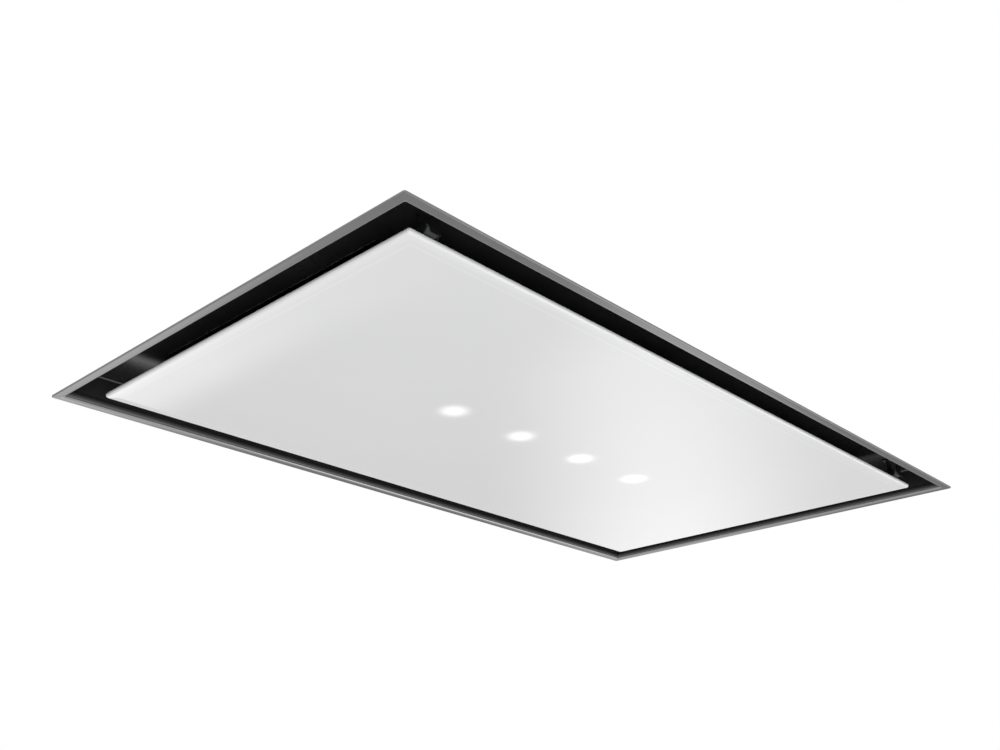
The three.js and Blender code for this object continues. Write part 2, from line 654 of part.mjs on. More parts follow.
/** A long stiffening bead, pressed up from the sheet below it. */
function bead(length, z) {
  const half = length / 2;
  const w = BEAD_WIDTH / 2;
  const ring = (grow, level) => ({ x: half + grow, y: w + grow, r: w + grow - HAIR, z: level });
  const shape = (grow, low, high) => loft([ring(grow, low), ring(grow - BEAD_HEIGHT, high)]);
  return {
    crest: shape(SHEET, z - SHEET / 2, z + BEAD_HEIGHT),
    hollow: shape(0, z - SHEET - SEAT, z + BEAD_HEIGHT - SHEET),
  };
}

/** The casing: a skirt round the tray, a shoulder, and the plenum box with its top. */
function casing() {
  const low = SKIRT_Z;
  const skirt = RECESS_CORNER + SHEET + FIT;
  const inner = { x: PLENUM_X - SHEET, y: PLENUM_Y - SHEET, r: PLENUM_CORNER - SHEET };
  const outer = { x: PLENUM_X, y: PLENUM_Y, r: PLENUM_CORNER };
  const shell = loft([
    { ...inner, z: CASING_TOP - SHEET },
    { ...inner, z: SHOULDER_Z },
    { x: SKIRT_X - SHEET, y: SKIRT_Y - SHEET, r: skirt, z: SHOULDER_Z },
    { x: SKIRT_X - SHEET, y: SKIRT_Y - SHEET, r: skirt, z: low },
    { x: SKIRT_X, y: SKIRT_Y, r: skirt + SHEET, z: low },
    { x: SKIRT_X, y: SKIRT_Y, r: skirt + SHEET, z: SHOULDER_Z + SHEET },
    { ...outer, z: SHOULDER_Z + SHEET },
    { ...outer, z: CASING_TOP },
  ]);
  const inletHole = rod(INLET_LIP - INLET_FLANGE, 0, TOTAL_HEIGHT, BIG_ROUND);
  const inlet = moved(inletHole, BLOWER_X, BLOWER_Y, 0);
  const leadHole = rod(LAMP_LEAD_BORE, CASING_TOP - REACH, CASING_TOP + REACH);
  const opened = cut(shell, inlet, moved(leadHole, LAMP_LEAD_TOP_X, LAMP_LEAD_TOP_Y, 0));
  const { crest, hollow } = bead(BEAD_LENGTH, CASING_TOP);
  return BEAD_ROWS.reduce((body, y) => cut(
    join(body, moved(crest, BEAD_X, y, 0)),
    moved(hollow, BEAD_X, y, 0),
  ), opened);
}

/** An angle bracket on the plenum's end wall, with a slot for a threaded rod. */
function hanger() {
  const z1 = CASING_TOP - HANGER_TOP_GAP;
  const half = HANGER_WIDTH / 2;
  const t = HANGER_SHEET;
  const angle = alongY([
    [0, z1 - HANGER_DROP], [t, z1 - HANGER_DROP], [t, z1 - t],
    [HANGER_REACH, z1 - t], [HANGER_REACH, z1], [0, z1],
  ], -half, half);
  const gusset = alongY([
    [t / 2, z1 - t / 2], [t / 2, z1 - HANGER_REACH], [HANGER_GUSSET, z1 - t / 2],
  ], half - t, half);
  const otherGusset = moved(gusset, 0, t - HANGER_WIDTH, 0);
  const slotX = (HANGER_REACH + t) / 2;
  const end = (ROD_SLOT_LENGTH - 2 * ROD_SLOT_RADIUS) / 2;
  const slot = join(
    moved(rod(ROD_SLOT_RADIUS, z1 - REACH, z1 + REACH), slotX, -end, 0),
    moved(rod(ROD_SLOT_RADIUS, z1 - REACH, z1 + REACH), slotX, end, 0),
    block(slotX - ROD_SLOT_RADIUS, slotX + ROD_SLOT_RADIUS, -end, end, z1 - REACH, z1 + REACH),
  );
  return cut(join(angle, gusset, otherGusset), slot);
}

// ---------- Glass panel ----------

/** The white glass, with its edges rounded all round. */
function panelGlass() {
  const x = PANEL_WIDTH / 2;
  const y = PANEL_DEPTH / 2;
  const side = (low) => count(GLASS_EDGE_STEPS + 1).map((i) => {
    const angle = radians((QUARTER * i) / GLASS_EDGE_STEPS);
    const away = GLASS_EDGE * (1 - Math.sin(angle));
    const rise = GLASS_EDGE * (1 - Math.cos(angle));
    const z = low ? rise : GLASS - rise;
    return { x: x - away, y: y - away, r: PANEL_CORNER - away, z, steps: GLASS_CORNER_STEPS };
  });
  return loft([...side(true), ...side(false).reverse()]);
}

/** The steel pan bonded to the back of the glass, open at each lamp. */
function panelCarrier() {
  const body = pan(CARRIER_X, CARRIER_Y, CARRIER_CORNER, CARRIER_Z, CARRIER_TOP);
  const hole = rod(LAMP_LENS_RADIUS + FIT, CARRIER_Z - REACH, CARRIER_FLOOR + SHEET, LAMP_ROUND);
  const open = LAMP_CENTRES.reduce((part, x) => cut(part, moved(hole, x, 0, 0)), body);
  const leadHole = alongY(
    roundOutline(LAMP_LEAD_BORE, SMALL_ROUND),
    CARRIER_Y - REACH, CARRIER_Y + REACH,
  );
  return cut(open, moved(leadHole, LOOM_X, 0, LOOM_Z));
}

/** The smooth cover that closes the carrier towards the filters. */
function panelCover() {
  const low = CARRIER_TOP + SEAT;
  const x = CARRIER_X - SHEET / 2;
  const y = CARRIER_Y - SHEET / 2;
  const r = CARRIER_CORNER;
  return loft([
    { x, y, r, z: low },
    { x, y, r, z: low + SHEET - COVER_CHAMFER },
    { x: x - SHEET, y: y - SHEET, r: r - SHEET, z: low + SHEET },
  ]);
}

/** The clear lens behind the glass: a shallow dome on a thin flange. */
function lampLens() {
  const z = CARRIER_Z;
  const dome = count(LENS_STEPS + 1).map((i) => {
    const angle = radians((QUARTER * i) / LENS_STEPS);
    const radius = (LAMP_LENS_RADIUS - LENS_RIM) * Math.cos(angle);
    return [radius, z + LENS_FLANGE + LENS_DOME * Math.sin(angle)];
  });
  return revolve([
    [0, z], [LAMP_LENS_RADIUS, z], [LAMP_LENS_RADIUS, z + LENS_FLANGE], ...dome,
  ], LAMP_ROUND);
}

/** The lamp's aluminium body over the lens, with a ring of cooling fins. */
function lampBody() {
  const low = CARRIER_FLOOR + SEAT;
  const deck = low + LAMP_BODY_HEIGHT;
  const inner = LAMP_BODY_RADIUS - LAMP_BODY_WALL;
  const cup = revolve([
    [inner, low], [LAMP_BODY_RADIUS, low], [LAMP_BODY_RADIUS, deck],
    [0, deck], [0, deck - LAMP_BODY_LID], [inner, deck - LAMP_BODY_LID],
  ], LAMP_ROUND);
  const half = LAMP_FIN / 2;
  const fin = block(LAMP_FIN_FROM, inner, -half, half, deck - BITE, CARRIER_TOP - LAMP_TOP_GAP);
  return join(cup, ...around(fin, LAMP_FINS));
}

// ---------- Panel hinges ----------

/** A circle as an outline. */
function roundOutline(radius, segments) {
  return count(segments).map((i) => {
    const angle = (2 * Math.PI * i) / segments;
    return [radius * Math.cos(angle), radius * Math.sin(angle)];
  });
}

/** A round-ended ear as an outline of [y, z], from the hinge axis up to a height. */
function earOutline(radius, top) {
  const arc = count(EAR_STEPS + 1).map((i) => {
    const angle = Math.PI + (Math.PI * i) / EAR_STEPS;
    return [radius * Math.cos(angle), radius * Math.sin(angle)];
  });
  return [...arc, [radius, top], [-radius, top]];
}

/** The fixed half of a hinge: a plate under the tray's ceiling with two ears. */
function hingeBracket() {
  const top = RECESS_DEPTH - SEAT - HINGE_Z;
  const half = HINGE_WIDTH / 2;
  const foot = block(-half, half, -HINGE_FOOT / 2, HINGE_FOOT / 2, top - HINGE_PLATE, top);
  const ear = (x) => alongX(earOutline(HINGE_EAR_RADIUS, top - BITE), x, x + HINGE_EAR);
  const hole = alongX(
    roundOutline(HINGE_PIN_RADIUS + SEAT, SMALL_ROUND), -HINGE_WIDTH, HINGE_WIDTH,
  );
  return cut(join(foot, ear(-half), ear(half - HINGE_EAR)), hole);
}

/** The hinge pin, with a head at each end. */
function hingePin() {
  const half = HINGE_WIDTH / 2 + SEAT;
  const end = half + HINGE_PIN_HEAD;
  const r = HINGE_PIN_RADIUS;
  const head = r + HINGE_PIN_RIM;
  return revolve([
    [0, -end], [head, -end], [head, -half], [r, -half],
    [r, half], [head, half], [head, end], [0, end],
  ], SMALL_ROUND).rotate([0, QUARTER, 0]);
}

/** The moving half: an eye on the pin, and an arm with a foot on the carrier's back wall. */
function hingeArm() {
  const half = HINGE_WIDTH / 2 - HINGE_EAR - FIT;
  const wide = half + HINGE_ARM_MARGIN;
  const wall = CARRIER_Y + SEAT - HINGE_Y;
  const low = CARRIER_FLOOR - HINGE_Z;
  const neck = HINGE_EYE_RADIUS - BITE;
  const eye = alongX(roundOutline(HINGE_EYE_RADIUS, ROUND), -half, half);
  const arm = alongX([
    [wall, low], [wall + HINGE_ARM_ROOT, low], [BITE, -neck], [BITE, neck], [wall, -HINGE_ARM_DROP],
  ], -half, half);
  const foot = block(-wide, wide, wall, wall + HINGE_PLATE, low, -HINGE_ARM_DROP);
  const hole = alongX(
    roundOutline(HINGE_PIN_RADIUS + RUNNING, SMALL_ROUND), -HINGE_WIDTH, HINGE_WIDTH,
  );
  return cut(join(eye, arm, foot), hole);
}

// ---------- Front catches ----------

/** A spring clip under the tray's ceiling: a folded strip whose two jaws take the roller. */
function catchClip() {
  const top = RECESS_DEPTH - SEAT - CATCH_Z;
  const s = CLIP_SHEET;
  const jaw = ROLLER_RADIUS + CLIP_GAP;
  const tip = -ROLLER_RADIUS - CLIP_TIP;
  const foot = jaw + CLIP_FOOT;
  const side = [
    [jaw + CLIP_FLARE, tip], [jaw + CLIP_FLARE + s, tip],
    [jaw + s, 0], [jaw + s, top - s], [foot, top - s], [foot, top],
  ];
  const inner = [[jaw, top - s * 2], [jaw, 0]];
  const left = ([y, z]) => [-y, z];
  const outline = [
    ...side,
    ...[...side].reverse().map(left),
    ...[...inner].reverse().map(left),
    ...inner,
  ];
  const half = ROLLER_WIDTH / 2 - CLIP_NARROWER;
  return alongX(outline, -half, half);
}

/** The panel's half of a catch: two ears on the carrier's front wall, with a riveted pin. */
function catchBracket() {
  const wall = CATCH_REACH - SEAT;
  const inner = ROLLER_WIDTH / 2 + FIT;
  const outer = inner + CATCH_EAR;
  const low = CARRIER_FLOOR - CATCH_Z;
  const high = CARRIER_TOP - CATCH_Z - BITE;
  const r = CATCH_EAR_RADIUS;
  const slant = r * Math.SQRT1_2;
  const ear = (x) => alongX([
    [wall, low], [wall, high], [0, r], [-slant, slant], [-r, 0], [-slant, -slant], [0, low],
  ], x, x + CATCH_EAR);
  const wide = outer + CATCH_FOOT_MARGIN;
  const foot = block(-wide, wide, wall - CATCH_FOOT, wall, low, high);
  const end = outer + CATCH_PIN_END;
  const pin = rod(CATCH_PIN_RADIUS, -end, end).rotate([0, QUARTER, 0]);
  return join(foot, ear(inner), ear(-outer), pin);
}

/** The roller on the catch pin, with chamfered edges. */
function catchRoller() {
  const half = ROLLER_WIDTH / 2;
  const bore = CATCH_PIN_RADIUS + RUNNING;
  const r = ROLLER_RADIUS;
  const c = ROLLER_CHAMFER;
  return revolve([
    [bore, -half], [r - c, -half], [r, c - half], [r, half - c], [r - c, half], [bore, half],
  ], SMALL_ROUND).rotate([0, QUARTER, 0]);
}

// ---------- Filters ----------

/** A filter's frame: a C-section round the core, a front rail and two rear hooks. */
function filterFrame() {
  const x = FILTER_WIDTH / 2;
  const y = FILTER_DEPTH / 2;
  const r = FILTER_CORNER - SHEET / 2;
  const z0 = RECESS_DEPTH;
  const z1 = FILTER_TOP;
  const t = SHEET;
  const inset = (by, z) => ({ x: x - by, y: y - by, r: Math.max(r - by, FILTER_INNER_CORNER), z });
  const ring = loft([
    inset(0, z0), inset(0, z1), inset(FILTER_LIP, z1), inset(FILTER_LIP, z1 - t),
    inset(t, z1 - t), inset(t, z0 + t), inset(FILTER_LIP, z0 + t), inset(FILTER_LIP, z0),
  ], true);
  const rail = block(FILTER_CORNER - x, x - FILTER_CORNER, t / 2 - y, FILTER_RAIL - y, z0, z0 + t);
  const half = TONGUE_WIDTH / 2;
  const hooks = [-HOOK_X, HOOK_X].map((at) => block(
    at - half, at + half, y - t / 2, y + HOOK_REACH, TONGUE_Z, TONGUE_Z + TONGUE_THICKNESS,
  ));
  const free = half + RUNNING;
  const webSlot = block(
    -free, free, -y - REACH, -y + t + FIT,
    TONGUE_Z - RUNNING, TONGUE_Z + TONGUE_THICKNESS + RUNNING,
  );
  const neckSlot = block(
    -free, free, NECK_FROM - FIT - y, NECK_TO + LATCH_TRAVEL + FIT - y, z0 - REACH, z0 + t + HAIR,
  );
  return cut(join(ring, rail, ...hooks), webSlot, neckSlot);
}

/** The pleated aluminium core, one folded sheet. */
function filterCore() {
  const x = FILTER_WIDTH / 2 - SHEET - FIT;
  const low = RECESS_DEPTH + SHEET + SEAT;
  const high = FILTER_TOP - SHEET - SEAT - FILTER_CORE;
  const ridge = count(FILTER_PLEATS + 1).map((i) => [
    -x + (2 * x * i) / FILTER_PLEATS, i % 2 ? high : low,
  ]);
  const back = [...ridge].reverse().map(([px, pz]) => [px, pz + FILTER_CORE]);
  const y = FILTER_DEPTH / 2;
  return alongY([...ridge, ...back], FILTER_RAIL - CORE_UNDER_RAIL - y, y - FILTER_CORNER);
}

/** The sprung latch of a filter: a grip below the rail, a neck, and a tongue over the tray. */
function filterLatch() {
  const front = -FILTER_DEPTH / 2;
  const half = LATCH_WIDTH / 2;
  const deep = LATCH_DEPTH / 2;
  const tongue = TONGUE_WIDTH / 2;
  const high = RECESS_DEPTH - SEAT;
  const low = high - LATCH_HEIGHT;
  const ring = (inset, r, z) => ({ x: half - inset, y: deep - inset, r, z });
  const grip = loft([
    ring(LATCH_ROUND, LATCH_CORNER - LATCH_ROUND, low),
    ring(0, LATCH_CORNER, low + LATCH_ROUND),
    ring(0, LATCH_CORNER, high),
  ]);
  const dish = loft([
    ring(DISH_MARGIN / 2, LATCH_CORNER, low - BITE),
    ring(DISH_MARGIN / 2 + DISH_SLOPE, LATCH_CORNER - DISH_SLOPE, low + LATCH_HEIGHT / 2),
  ]);
  const body = moved(cut(grip, dish), 0, front + LATCH_AT, 0);
  const neck = block(
    -tongue, tongue, front + NECK_FROM, front + NECK_TO, high - BITE, TONGUE_Z + BITE,
  );
  const bolt = block(
    -tongue, tongue, front - TONGUE_REACH, front + NECK_TO, TONGUE_Z, TONGUE_Z + TONGUE_THICKNESS,
  );
  return join(body, neck, bolt);
}

// ---------- Blower ----------

/** The sheet-steel box over the blower, with a screw flange and the outlet hole. */
function blowerBox() {
  const x = BOX_WIDTH / 2;
  const y = BOX_DEPTH / 2;
  const r = BOX_CORNER;
  const wide = BOX_FLANGE;
  const top = TOTAL_HEIGHT - SHEET - SEAT;
  const shell = loft([
    { x: x - SHEET, y: y - SHEET, r: r - SHEET, z: top },
    { x: x - SHEET, y: y - SHEET, r: r - SHEET, z: DECK_Z },
    { x: x + wide, y: y + wide, r: r + wide, z: DECK_Z },
    { x: x + wide, y: y + wide, r: r + wide, z: DECK_Z + SHEET },
    { x, y, r, z: DECK_Z + SHEET },
    { x, y, r, z: top },
  ], true);
  const outlet = alongX(roundOutline(BORE_RADIUS, BIG_ROUND), x - REACH, x + REACH);
  const leadHole = alongX(roundOutline(GROMMET_BORE, SMALL_ROUND), -x - REACH, -x + REACH);
  return cut(
    moved(shell, BOX_X, BOX_Y, 0),
    moved(outlet, BOX_X, DUCT_Y, COLLAR_Z),
    moved(leadHole, BOX_X, MOTOR_LEAD_Y, LEAD_Z),
  );
}

/** The lid of the blower box, with its lips down over the walls. */
function blowerLid() {
  const x = BOX_WIDTH / 2 + FIT + SHEET;
  const y = BOX_DEPTH / 2 + FIT + SHEET;
  const z0 = TOTAL_HEIGHT - BOX_LID_EDGE;
  return moved(hoodShell(x, y, BOX_CORNER + SHEET, z0, TOTAL_HEIGHT), BOX_X, BOX_Y, 0);
}

/** The spiral of the scroll's inside, from the tongue round to the outlet. */
function spiral() {
  const sweep = radians(OUTLET_ANGLE - TONGUE_ANGLE);
  const rate = Math.log(SCROLL_END / SCROLL_START) / sweep;
  return count(SCROLL_STEPS + 1).map((i) => {
    const turned = (sweep * i) / SCROLL_STEPS;
    const angle = radians(TONGUE_ANGLE) + turned;
    const radius = SCROLL_START * Math.exp(rate * turned);
    return [radius * Math.cos(angle), radius * Math.sin(angle)];
  });
}

/** The inside of the outlet channel, from the tongue to a distance past the box's wall. */
function channel(past) {
  const [start] = spiral();
  const top = 2 * DUCT_RADIUS - SCROLL_END - COLLAR_WALL;
  return [[0, -SCROLL_END], [OUTLET_X + past, -SCROLL_END], [OUTLET_X + past, top], start];
}

/** The scroll as a solid between two heights, grown sideways by its wall or not at all. */
function scrollSolid(grow, past, z0, z1) {
  const outline = new wasm.CrossSection([spiral(), channel(past)], 'NonZero');
  return outline.offset(grow, 'Miter').extrude(z1 - z0).translate([0, 0, z0]);
}

/** The lower shell of the scroll, with the inlet hole in its floor. */
function scrollLower() {
  const outside = scrollSolid(SCROLL_WALL, -SCROLL_WALL, DECK_Z, SCROLL_SPLIT);
  const inside = scrollSolid(0, REACH, DECK_Z + SCROLL_WALL, SCROLL_SPLIT + REACH);
  const inlet = rod(INLET_LIP + INLET_FLANGE + FIT, DECK_Z - REACH, DECK_Z + REACH, BIG_ROUND);
  return moved(cut(outside, inside, inlet), BLOWER_X, BLOWER_Y, 0);
}

/** The upper shell of the scroll, which carries the motor. */
function scrollUpper() {
  const low = SCROLL_SPLIT + SEAT;
  const outside = scrollSolid(SCROLL_WALL, -SCROLL_WALL, low, SCROLL_TOP);
  const inside = scrollSolid(0, REACH, low - REACH, SCROLL_TOP - SCROLL_WALL);
  const vent = rod(MOTOR_VENT, SCROLL_TOP - REACH, SCROLL_TOP + REACH, ROUND);
  return moved(cut(outside, inside, vent), BLOWER_X, BLOWER_Y, 0);
}

/** The bellmouth that leads the air into the wheel. */
function inletRing() {
  const curve = (radius, lip) => count(INLET_STEPS + 1).map((i) => {
    const angle = radians((QUARTER * i) / INLET_STEPS);
    return [
      radius + (lip - radius) * (1 - Math.sin(angle)),
      DECK_Z + INLET_HEIGHT * (1 - Math.cos(angle)),
    ];
  });
  const inner = curve(INLET_RADIUS, INLET_LIP - 2 * INLET_WALL);
  const outer = curve(INLET_RADIUS + INLET_WALL, INLET_LIP).reverse().slice(0, -1);
  return revolve([
    ...inner, ...outer, [INLET_LIP, DECK_Z + INLET_WALL],
    [INLET_LIP + INLET_FLANGE, DECK_Z + INLET_WALL], [INLET_LIP + INLET_FLANGE, DECK_Z],
  ], BIG_ROUND);
}

/** A forward-curved blade as an outline, from its root to its tip and back. */
function bladeOutline() {
  const root = WHEEL_INNER - BLADE_INSET;
  const tip = WHEEL_RADIUS - BLADE_INSET;
  const face = (side) => count(BLADE_STEPS + 1).map((i) => {
    const t = i / BLADE_STEPS;
    const radius = root + (tip - root) * t;
    const angle = radians(BLADE_SWEEP) * t * t + side / radius;
    return [radius * Math.cos(angle), radius * Math.sin(angle)];
  });
  return [...face(-BLADE_THICKNESS / 2), ...face(BLADE_THICKNESS / 2).reverse()];
}

/** The wheel: forward-curved blades between a rim at the inlet and a back plate on the rotor. */
function impeller() {
  const rimTop = WHEEL_BOTTOM + WHEEL_RIM;
  const rim = revolve([
    [WHEEL_INNER, WHEEL_BOTTOM], [WHEEL_RADIUS, WHEEL_BOTTOM],
    [WHEEL_RADIUS, rimTop], [WHEEL_INNER, rimTop],
  ], BIG_ROUND);
  const bore = SHAFT_RADIUS + SEAT;
  const flat = WHEEL_RADIUS - WHEEL_SLOPE;
  const low = HUB_Z - WHEEL_DISH;
  const edge = HUB_Z - WHEEL_EDGE;
  const back = revolve([
    [bore, low], [flat, low], [WHEEL_RADIUS, edge - WHEEL_PLATE], [WHEEL_RADIUS, edge],
    [flat, low + WHEEL_PLATE], [ROTOR_RADIUS + WHEEL_BOSS, low + WHEEL_PLATE],
    [ROTOR_RADIUS - WHEEL_BOSS, HUB_Z - SEAT], [bore, HUB_Z - SEAT],
  ], BIG_ROUND);
  const blade = raised(bladeOutline(), rimTop - BITE, low + WHEEL_PLATE + BITE / 2);
  return join(rim, ...around(blade, BLADE_COUNT), back);
}

/** The motor's rotor: a bell with cooling holes, on the shaft that runs in the stator. */
function motorRotor() {
  const floor = HUB_Z + ROTOR_FLOOR;
  const inner = ROTOR_RADIUS - ROTOR_WALL;
  const shaftTop = ROTOR_TOP - BITE;
  const bell = revolve([
    [0, HUB_Z - SHAFT_REACH], [SHAFT_RADIUS, HUB_Z - SHAFT_REACH], [SHAFT_RADIUS, HUB_Z],
    [ROTOR_RADIUS - ROTOR_CHAMFER, HUB_Z], [ROTOR_RADIUS, HUB_Z + ROTOR_CHAMFER],
    [ROTOR_RADIUS, ROTOR_TOP], [inner, ROTOR_TOP], [inner, floor],
    [SHAFT_RADIUS, floor], [SHAFT_RADIUS, shaftTop], [0, shaftTop],
  ], ROUND);
  const upright = rod(ROTOR_HOLE_RADIUS, HUB_Z - BITE, floor + BITE);
  const hole = moved(upright, ROTOR_RADIUS - ROTOR_HOLE_INSET, 0, 0);
  return cut(bell, ...around(hole, ROTOR_HOLES));
}

/** The motor's stator: windings inside the bell and a ribbed flange under the scroll's lid. */
function motorStator() {
  const top = SCROLL_TOP - SCROLL_WALL - SEAT;
  const core = ROTOR_RADIUS - ROTOR_WALL - MOTOR_GAP;
  const low = HUB_Z + ROTOR_FLOOR + STATOR_STEP / 2;
  const bearing = SHAFT_RADIUS + RUNNING;
  const waist = ROTOR_TOP + STATOR_STEP;
  const plateLow = top - STATOR_PLATE;
  const body = revolve([
    [0, ROTOR_TOP], [bearing, ROTOR_TOP], [bearing, low], [core - STATOR_CHAMFER, low],
    [core, low + STATOR_CHAMFER], [core, ROTOR_TOP - STATOR_STEP], [STATOR_RADIUS, waist],
    [STATOR_RADIUS, plateLow - BITE], [STATOR_FLANGE, plateLow], [STATOR_FLANGE, top], [0, top],
  ], ROUND);
  const half = STATOR_RIB / 2;
  const rib = block(
    STATOR_RADIUS - STATOR_RIB, STATOR_FLANGE - STATOR_RIB_MARGIN,
    -half, half, waist + STATOR_STEP, plateLow + BITE,
  );
  return join(body, ...around(rib, STATOR_RIBS));
}

// ---------- Duct collar and flaps ----------

/** The round collar: a flange on the box, a stop bead, a seat for the flaps and the pin's holes. */
function ductCollar() {
  const start = BOX_RIGHT + SEAT;
  const end = BOX_RIGHT + COLLAR_LENGTH;
  const beadAt = start + COLLAR_BEAD_AT;
  const seat = FLAP_X - FLAP_KNUCKLE_RADIUS - FLAP_SEAT_GAP;
  const b = BORE_RADIUS;
  const tube = revolve([
    [b, start], [COLLAR_FLANGE, start],
    [COLLAR_FLANGE, start + COLLAR_PLATE], [DUCT_RADIUS, start + COLLAR_PLATE],
    [DUCT_RADIUS, beadAt], [DUCT_RADIUS + COLLAR_BEAD, beadAt + COLLAR_BEAD],
    [DUCT_RADIUS, beadAt + 2 * COLLAR_BEAD], [DUCT_RADIUS - COLLAR_TAPER, end], [b, end],
    [b, seat], [b - FLAP_SEAT, seat - FLAP_SEAT_DEPTH / 2], [b, seat - FLAP_SEAT_DEPTH],
  ], BIG_ROUND).rotate([0, QUARTER, 0]);
  const pinHole = rod(FLAP_PIN_RADIUS + SEAT, -DUCT_RADIUS - REACH, DUCT_RADIUS + REACH);
  return moved(cut(tube, moved(pinHole, FLAP_X, 0, 0)), 0, DUCT_Y, COLLAR_Z);
}

/** A half-round flap, closing the duct across X on one side of its pin, +Y or -Y. */
function damperFlap(side) {
  const radius = BORE_RADIUS - FLAP_GAP;
  const edge = FLAP_KNUCKLE_RADIUS + FLAP_SEAT_GAP;
  const from = Math.asin(edge / radius);
  const rimLine = count(FLAP_STEPS + 1).map((i) => {
    const angle = from + ((Math.PI - 2 * from) * i) / FLAP_STEPS;
    return [radius * Math.sin(angle), -radius * Math.cos(angle)];
  });
  const half = FLAP_SHEET / 2;
  const leaf = alongX(rimLine, -half, half);
  const ends = [FLAP_KNUCKLE_GAP, radius - FLAP_KNUCKLE_END];
  const [z0, z1] = side > 0 ? ends : [-ends[1], -ends[0]];
  const knuckle = rod(FLAP_KNUCKLE_RADIUS, z0, z1);
  const web = block(-half, half, 0, edge + BITE, z0, z1);
  const rib = block(
    -half - FLAP_RIB, BITE - half, FLAP_RIB_AT, FLAP_RIB_AT + FLAP_RIB_WIDTH,
    -FLAP_RIB_LENGTH / 2, FLAP_RIB_LENGTH / 2,
  );
  const bore = rod(FLAP_PIN_RADIUS + RUNNING, -radius, radius);
  const flap = cut(join(leaf, knuckle, web, rib), bore);
  return side > 0 ? flap : flap.mirror([0, 1, 0]);
}

// ---------- Electronics ----------

/** The electronics box: a sheet-steel pan on the casing, with holes for its leads. */
function electronicsBox() {
  const x = CONTROL_WIDTH / 2;
  const y = CONTROL_DEPTH / 2;
  const body = moved(
    pan(x, y, CONTROL_CORNER, DECK_Z, DECK_Z + CONTROL_HEIGHT - SHEET), CONTROL_X, CONTROL_Y, 0,
  );
  const motorHole = alongX(
    roundOutline(GROMMET_BORE, SMALL_ROUND), CONTROL_RIGHT - REACH, CONTROL_RIGHT + REACH,
  );
  const glandHole = alongY(
    roundOutline(GLAND_RADIUS, ROUND), CONTROL_BACK - REACH, CONTROL_BACK + REACH,
  );
  const lampHole = rod(LAMP_LEAD_BORE, DECK_Z - REACH, DECK_Z + REACH);
  return cut(
    body,
    moved(motorHole, 0, MOTOR_LEAD_Y, LEAD_Z),
    moved(glandHole, GLAND_X, 0, LEAD_Z),
    moved(lampHole, LAMP_LEAD_TOP_X, LAMP_LEAD_TOP_Y, 0),
  );
}

/** The lid of the electronics box, with a turned-down edge outside the walls. */
function electronicsLid() {
  const x = CONTROL_WIDTH / 2 + FIT + SHEET;
  const y = CONTROL_DEPTH / 2 + FIT + SHEET;
  const z1 = DECK_Z + CONTROL_HEIGHT + SEAT;
  return moved(hoodShell(x, y, CONTROL_CORNER + SHEET, z1 - LID_EDGE, z1), CONTROL_X, CONTROL_Y, 0);
}

/** A block standing on the board, from its sizes and its place from the board's front edge. */
function boardPart({ x, y, z, at: [fromCentre, fromEdge] }, edge, top) {
  const cx = CONTROL_X + fromCentre;
  const cy = edge + fromEdge;
  return block(cx - x / 2, cx + x / 2, cy - y / 2, cy + y / 2, top - PART_ROOT, top + z);
}

/** The control board on its stand-offs, with its transformer, heat sink and capacitors. */
function controlBoard() {
  const x = CONTROL_WIDTH / 2 - BOARD_INSET;
  const z = CONTROL_FLOOR + SEAT + STANDOFF;
  const top = z + BOARD;
  const y0 = CONTROL_Y - CONTROL_DEPTH / 2 + BOARD_FRONT;
  const y1 = CONTROL_Y + BOARD_BACK;
  const slab = block(CONTROL_X - x, CONTROL_X + x, y0, y1, z, top);
  const inset = BOARD_FOOT_INSET;
  const corners = [-1, 1].flatMap((side) => [y0 + inset, y1 - inset].map((y) => [side, y]));
  const feet = corners.map(([side, y]) => moved(
    rod(BOARD_FOOT_RADIUS, CONTROL_FLOOR + SEAT, z + BITE), CONTROL_X + side * (x - inset), y, 0,
  ));
  const blocks = [COIL, SINK, CHIP].map((part) => boardPart(part, y0, top));
  const cans = count(CAN.count).map((i) => moved(
    rod(CAN.radius, top - PART_ROOT, top + CAN.z), CONTROL_X + CAN.first + CAN.pitch * i, y0 + CAN.y, 0,
  ));
  return join(slab, ...feet, ...blocks, ...cans);
}

/** The sealed supply of the lamps, beside the board. */
function lampSupply() {
  const { x, y, z, r, chamfer, at } = SUPPLY;
  const low = CONTROL_FLOOR + SEAT;
  const body = loft([
    { x, y, r, z: low },
    { x, y, r, z: low + z - chamfer },
    { x: x - chamfer, y: y - chamfer, r: r - chamfer / 2, z: low + z },
  ]);
  return moved(body, CONTROL_X - CONTROL_WIDTH / 2 + at[0], CONTROL_BACK - at[1], 0);
}

/** The mains terminal block, with an open way and a screw well over each pole. */
function terminalBlock() {
  const z = CONTROL_FLOOR + SEAT;
  const [x, fromBack] = TERMINAL.at;
  const body = block(0, TERMINAL.x, 0, TERMINAL.y, z, z + TERMINAL.z);
  const ways = count(WAY.count).map((i) => {
    const at = WAY.margin + WAY.pitch * i;
    const mouth = block(at, at + WAY.width, -REACH, WAY.depth, z + WAY.low, z + WAY.high);
    const well = rod(WELL.radius, z + TERMINAL.z - WELL.depth, z + TERMINAL.z + REACH);
    return join(mouth, moved(well, at + WAY.width / 2, WELL.y, 0));
  });
  return moved(cut(body, ...ways), CONTROL_X + x, CONTROL_BACK - fromBack, 0);
}

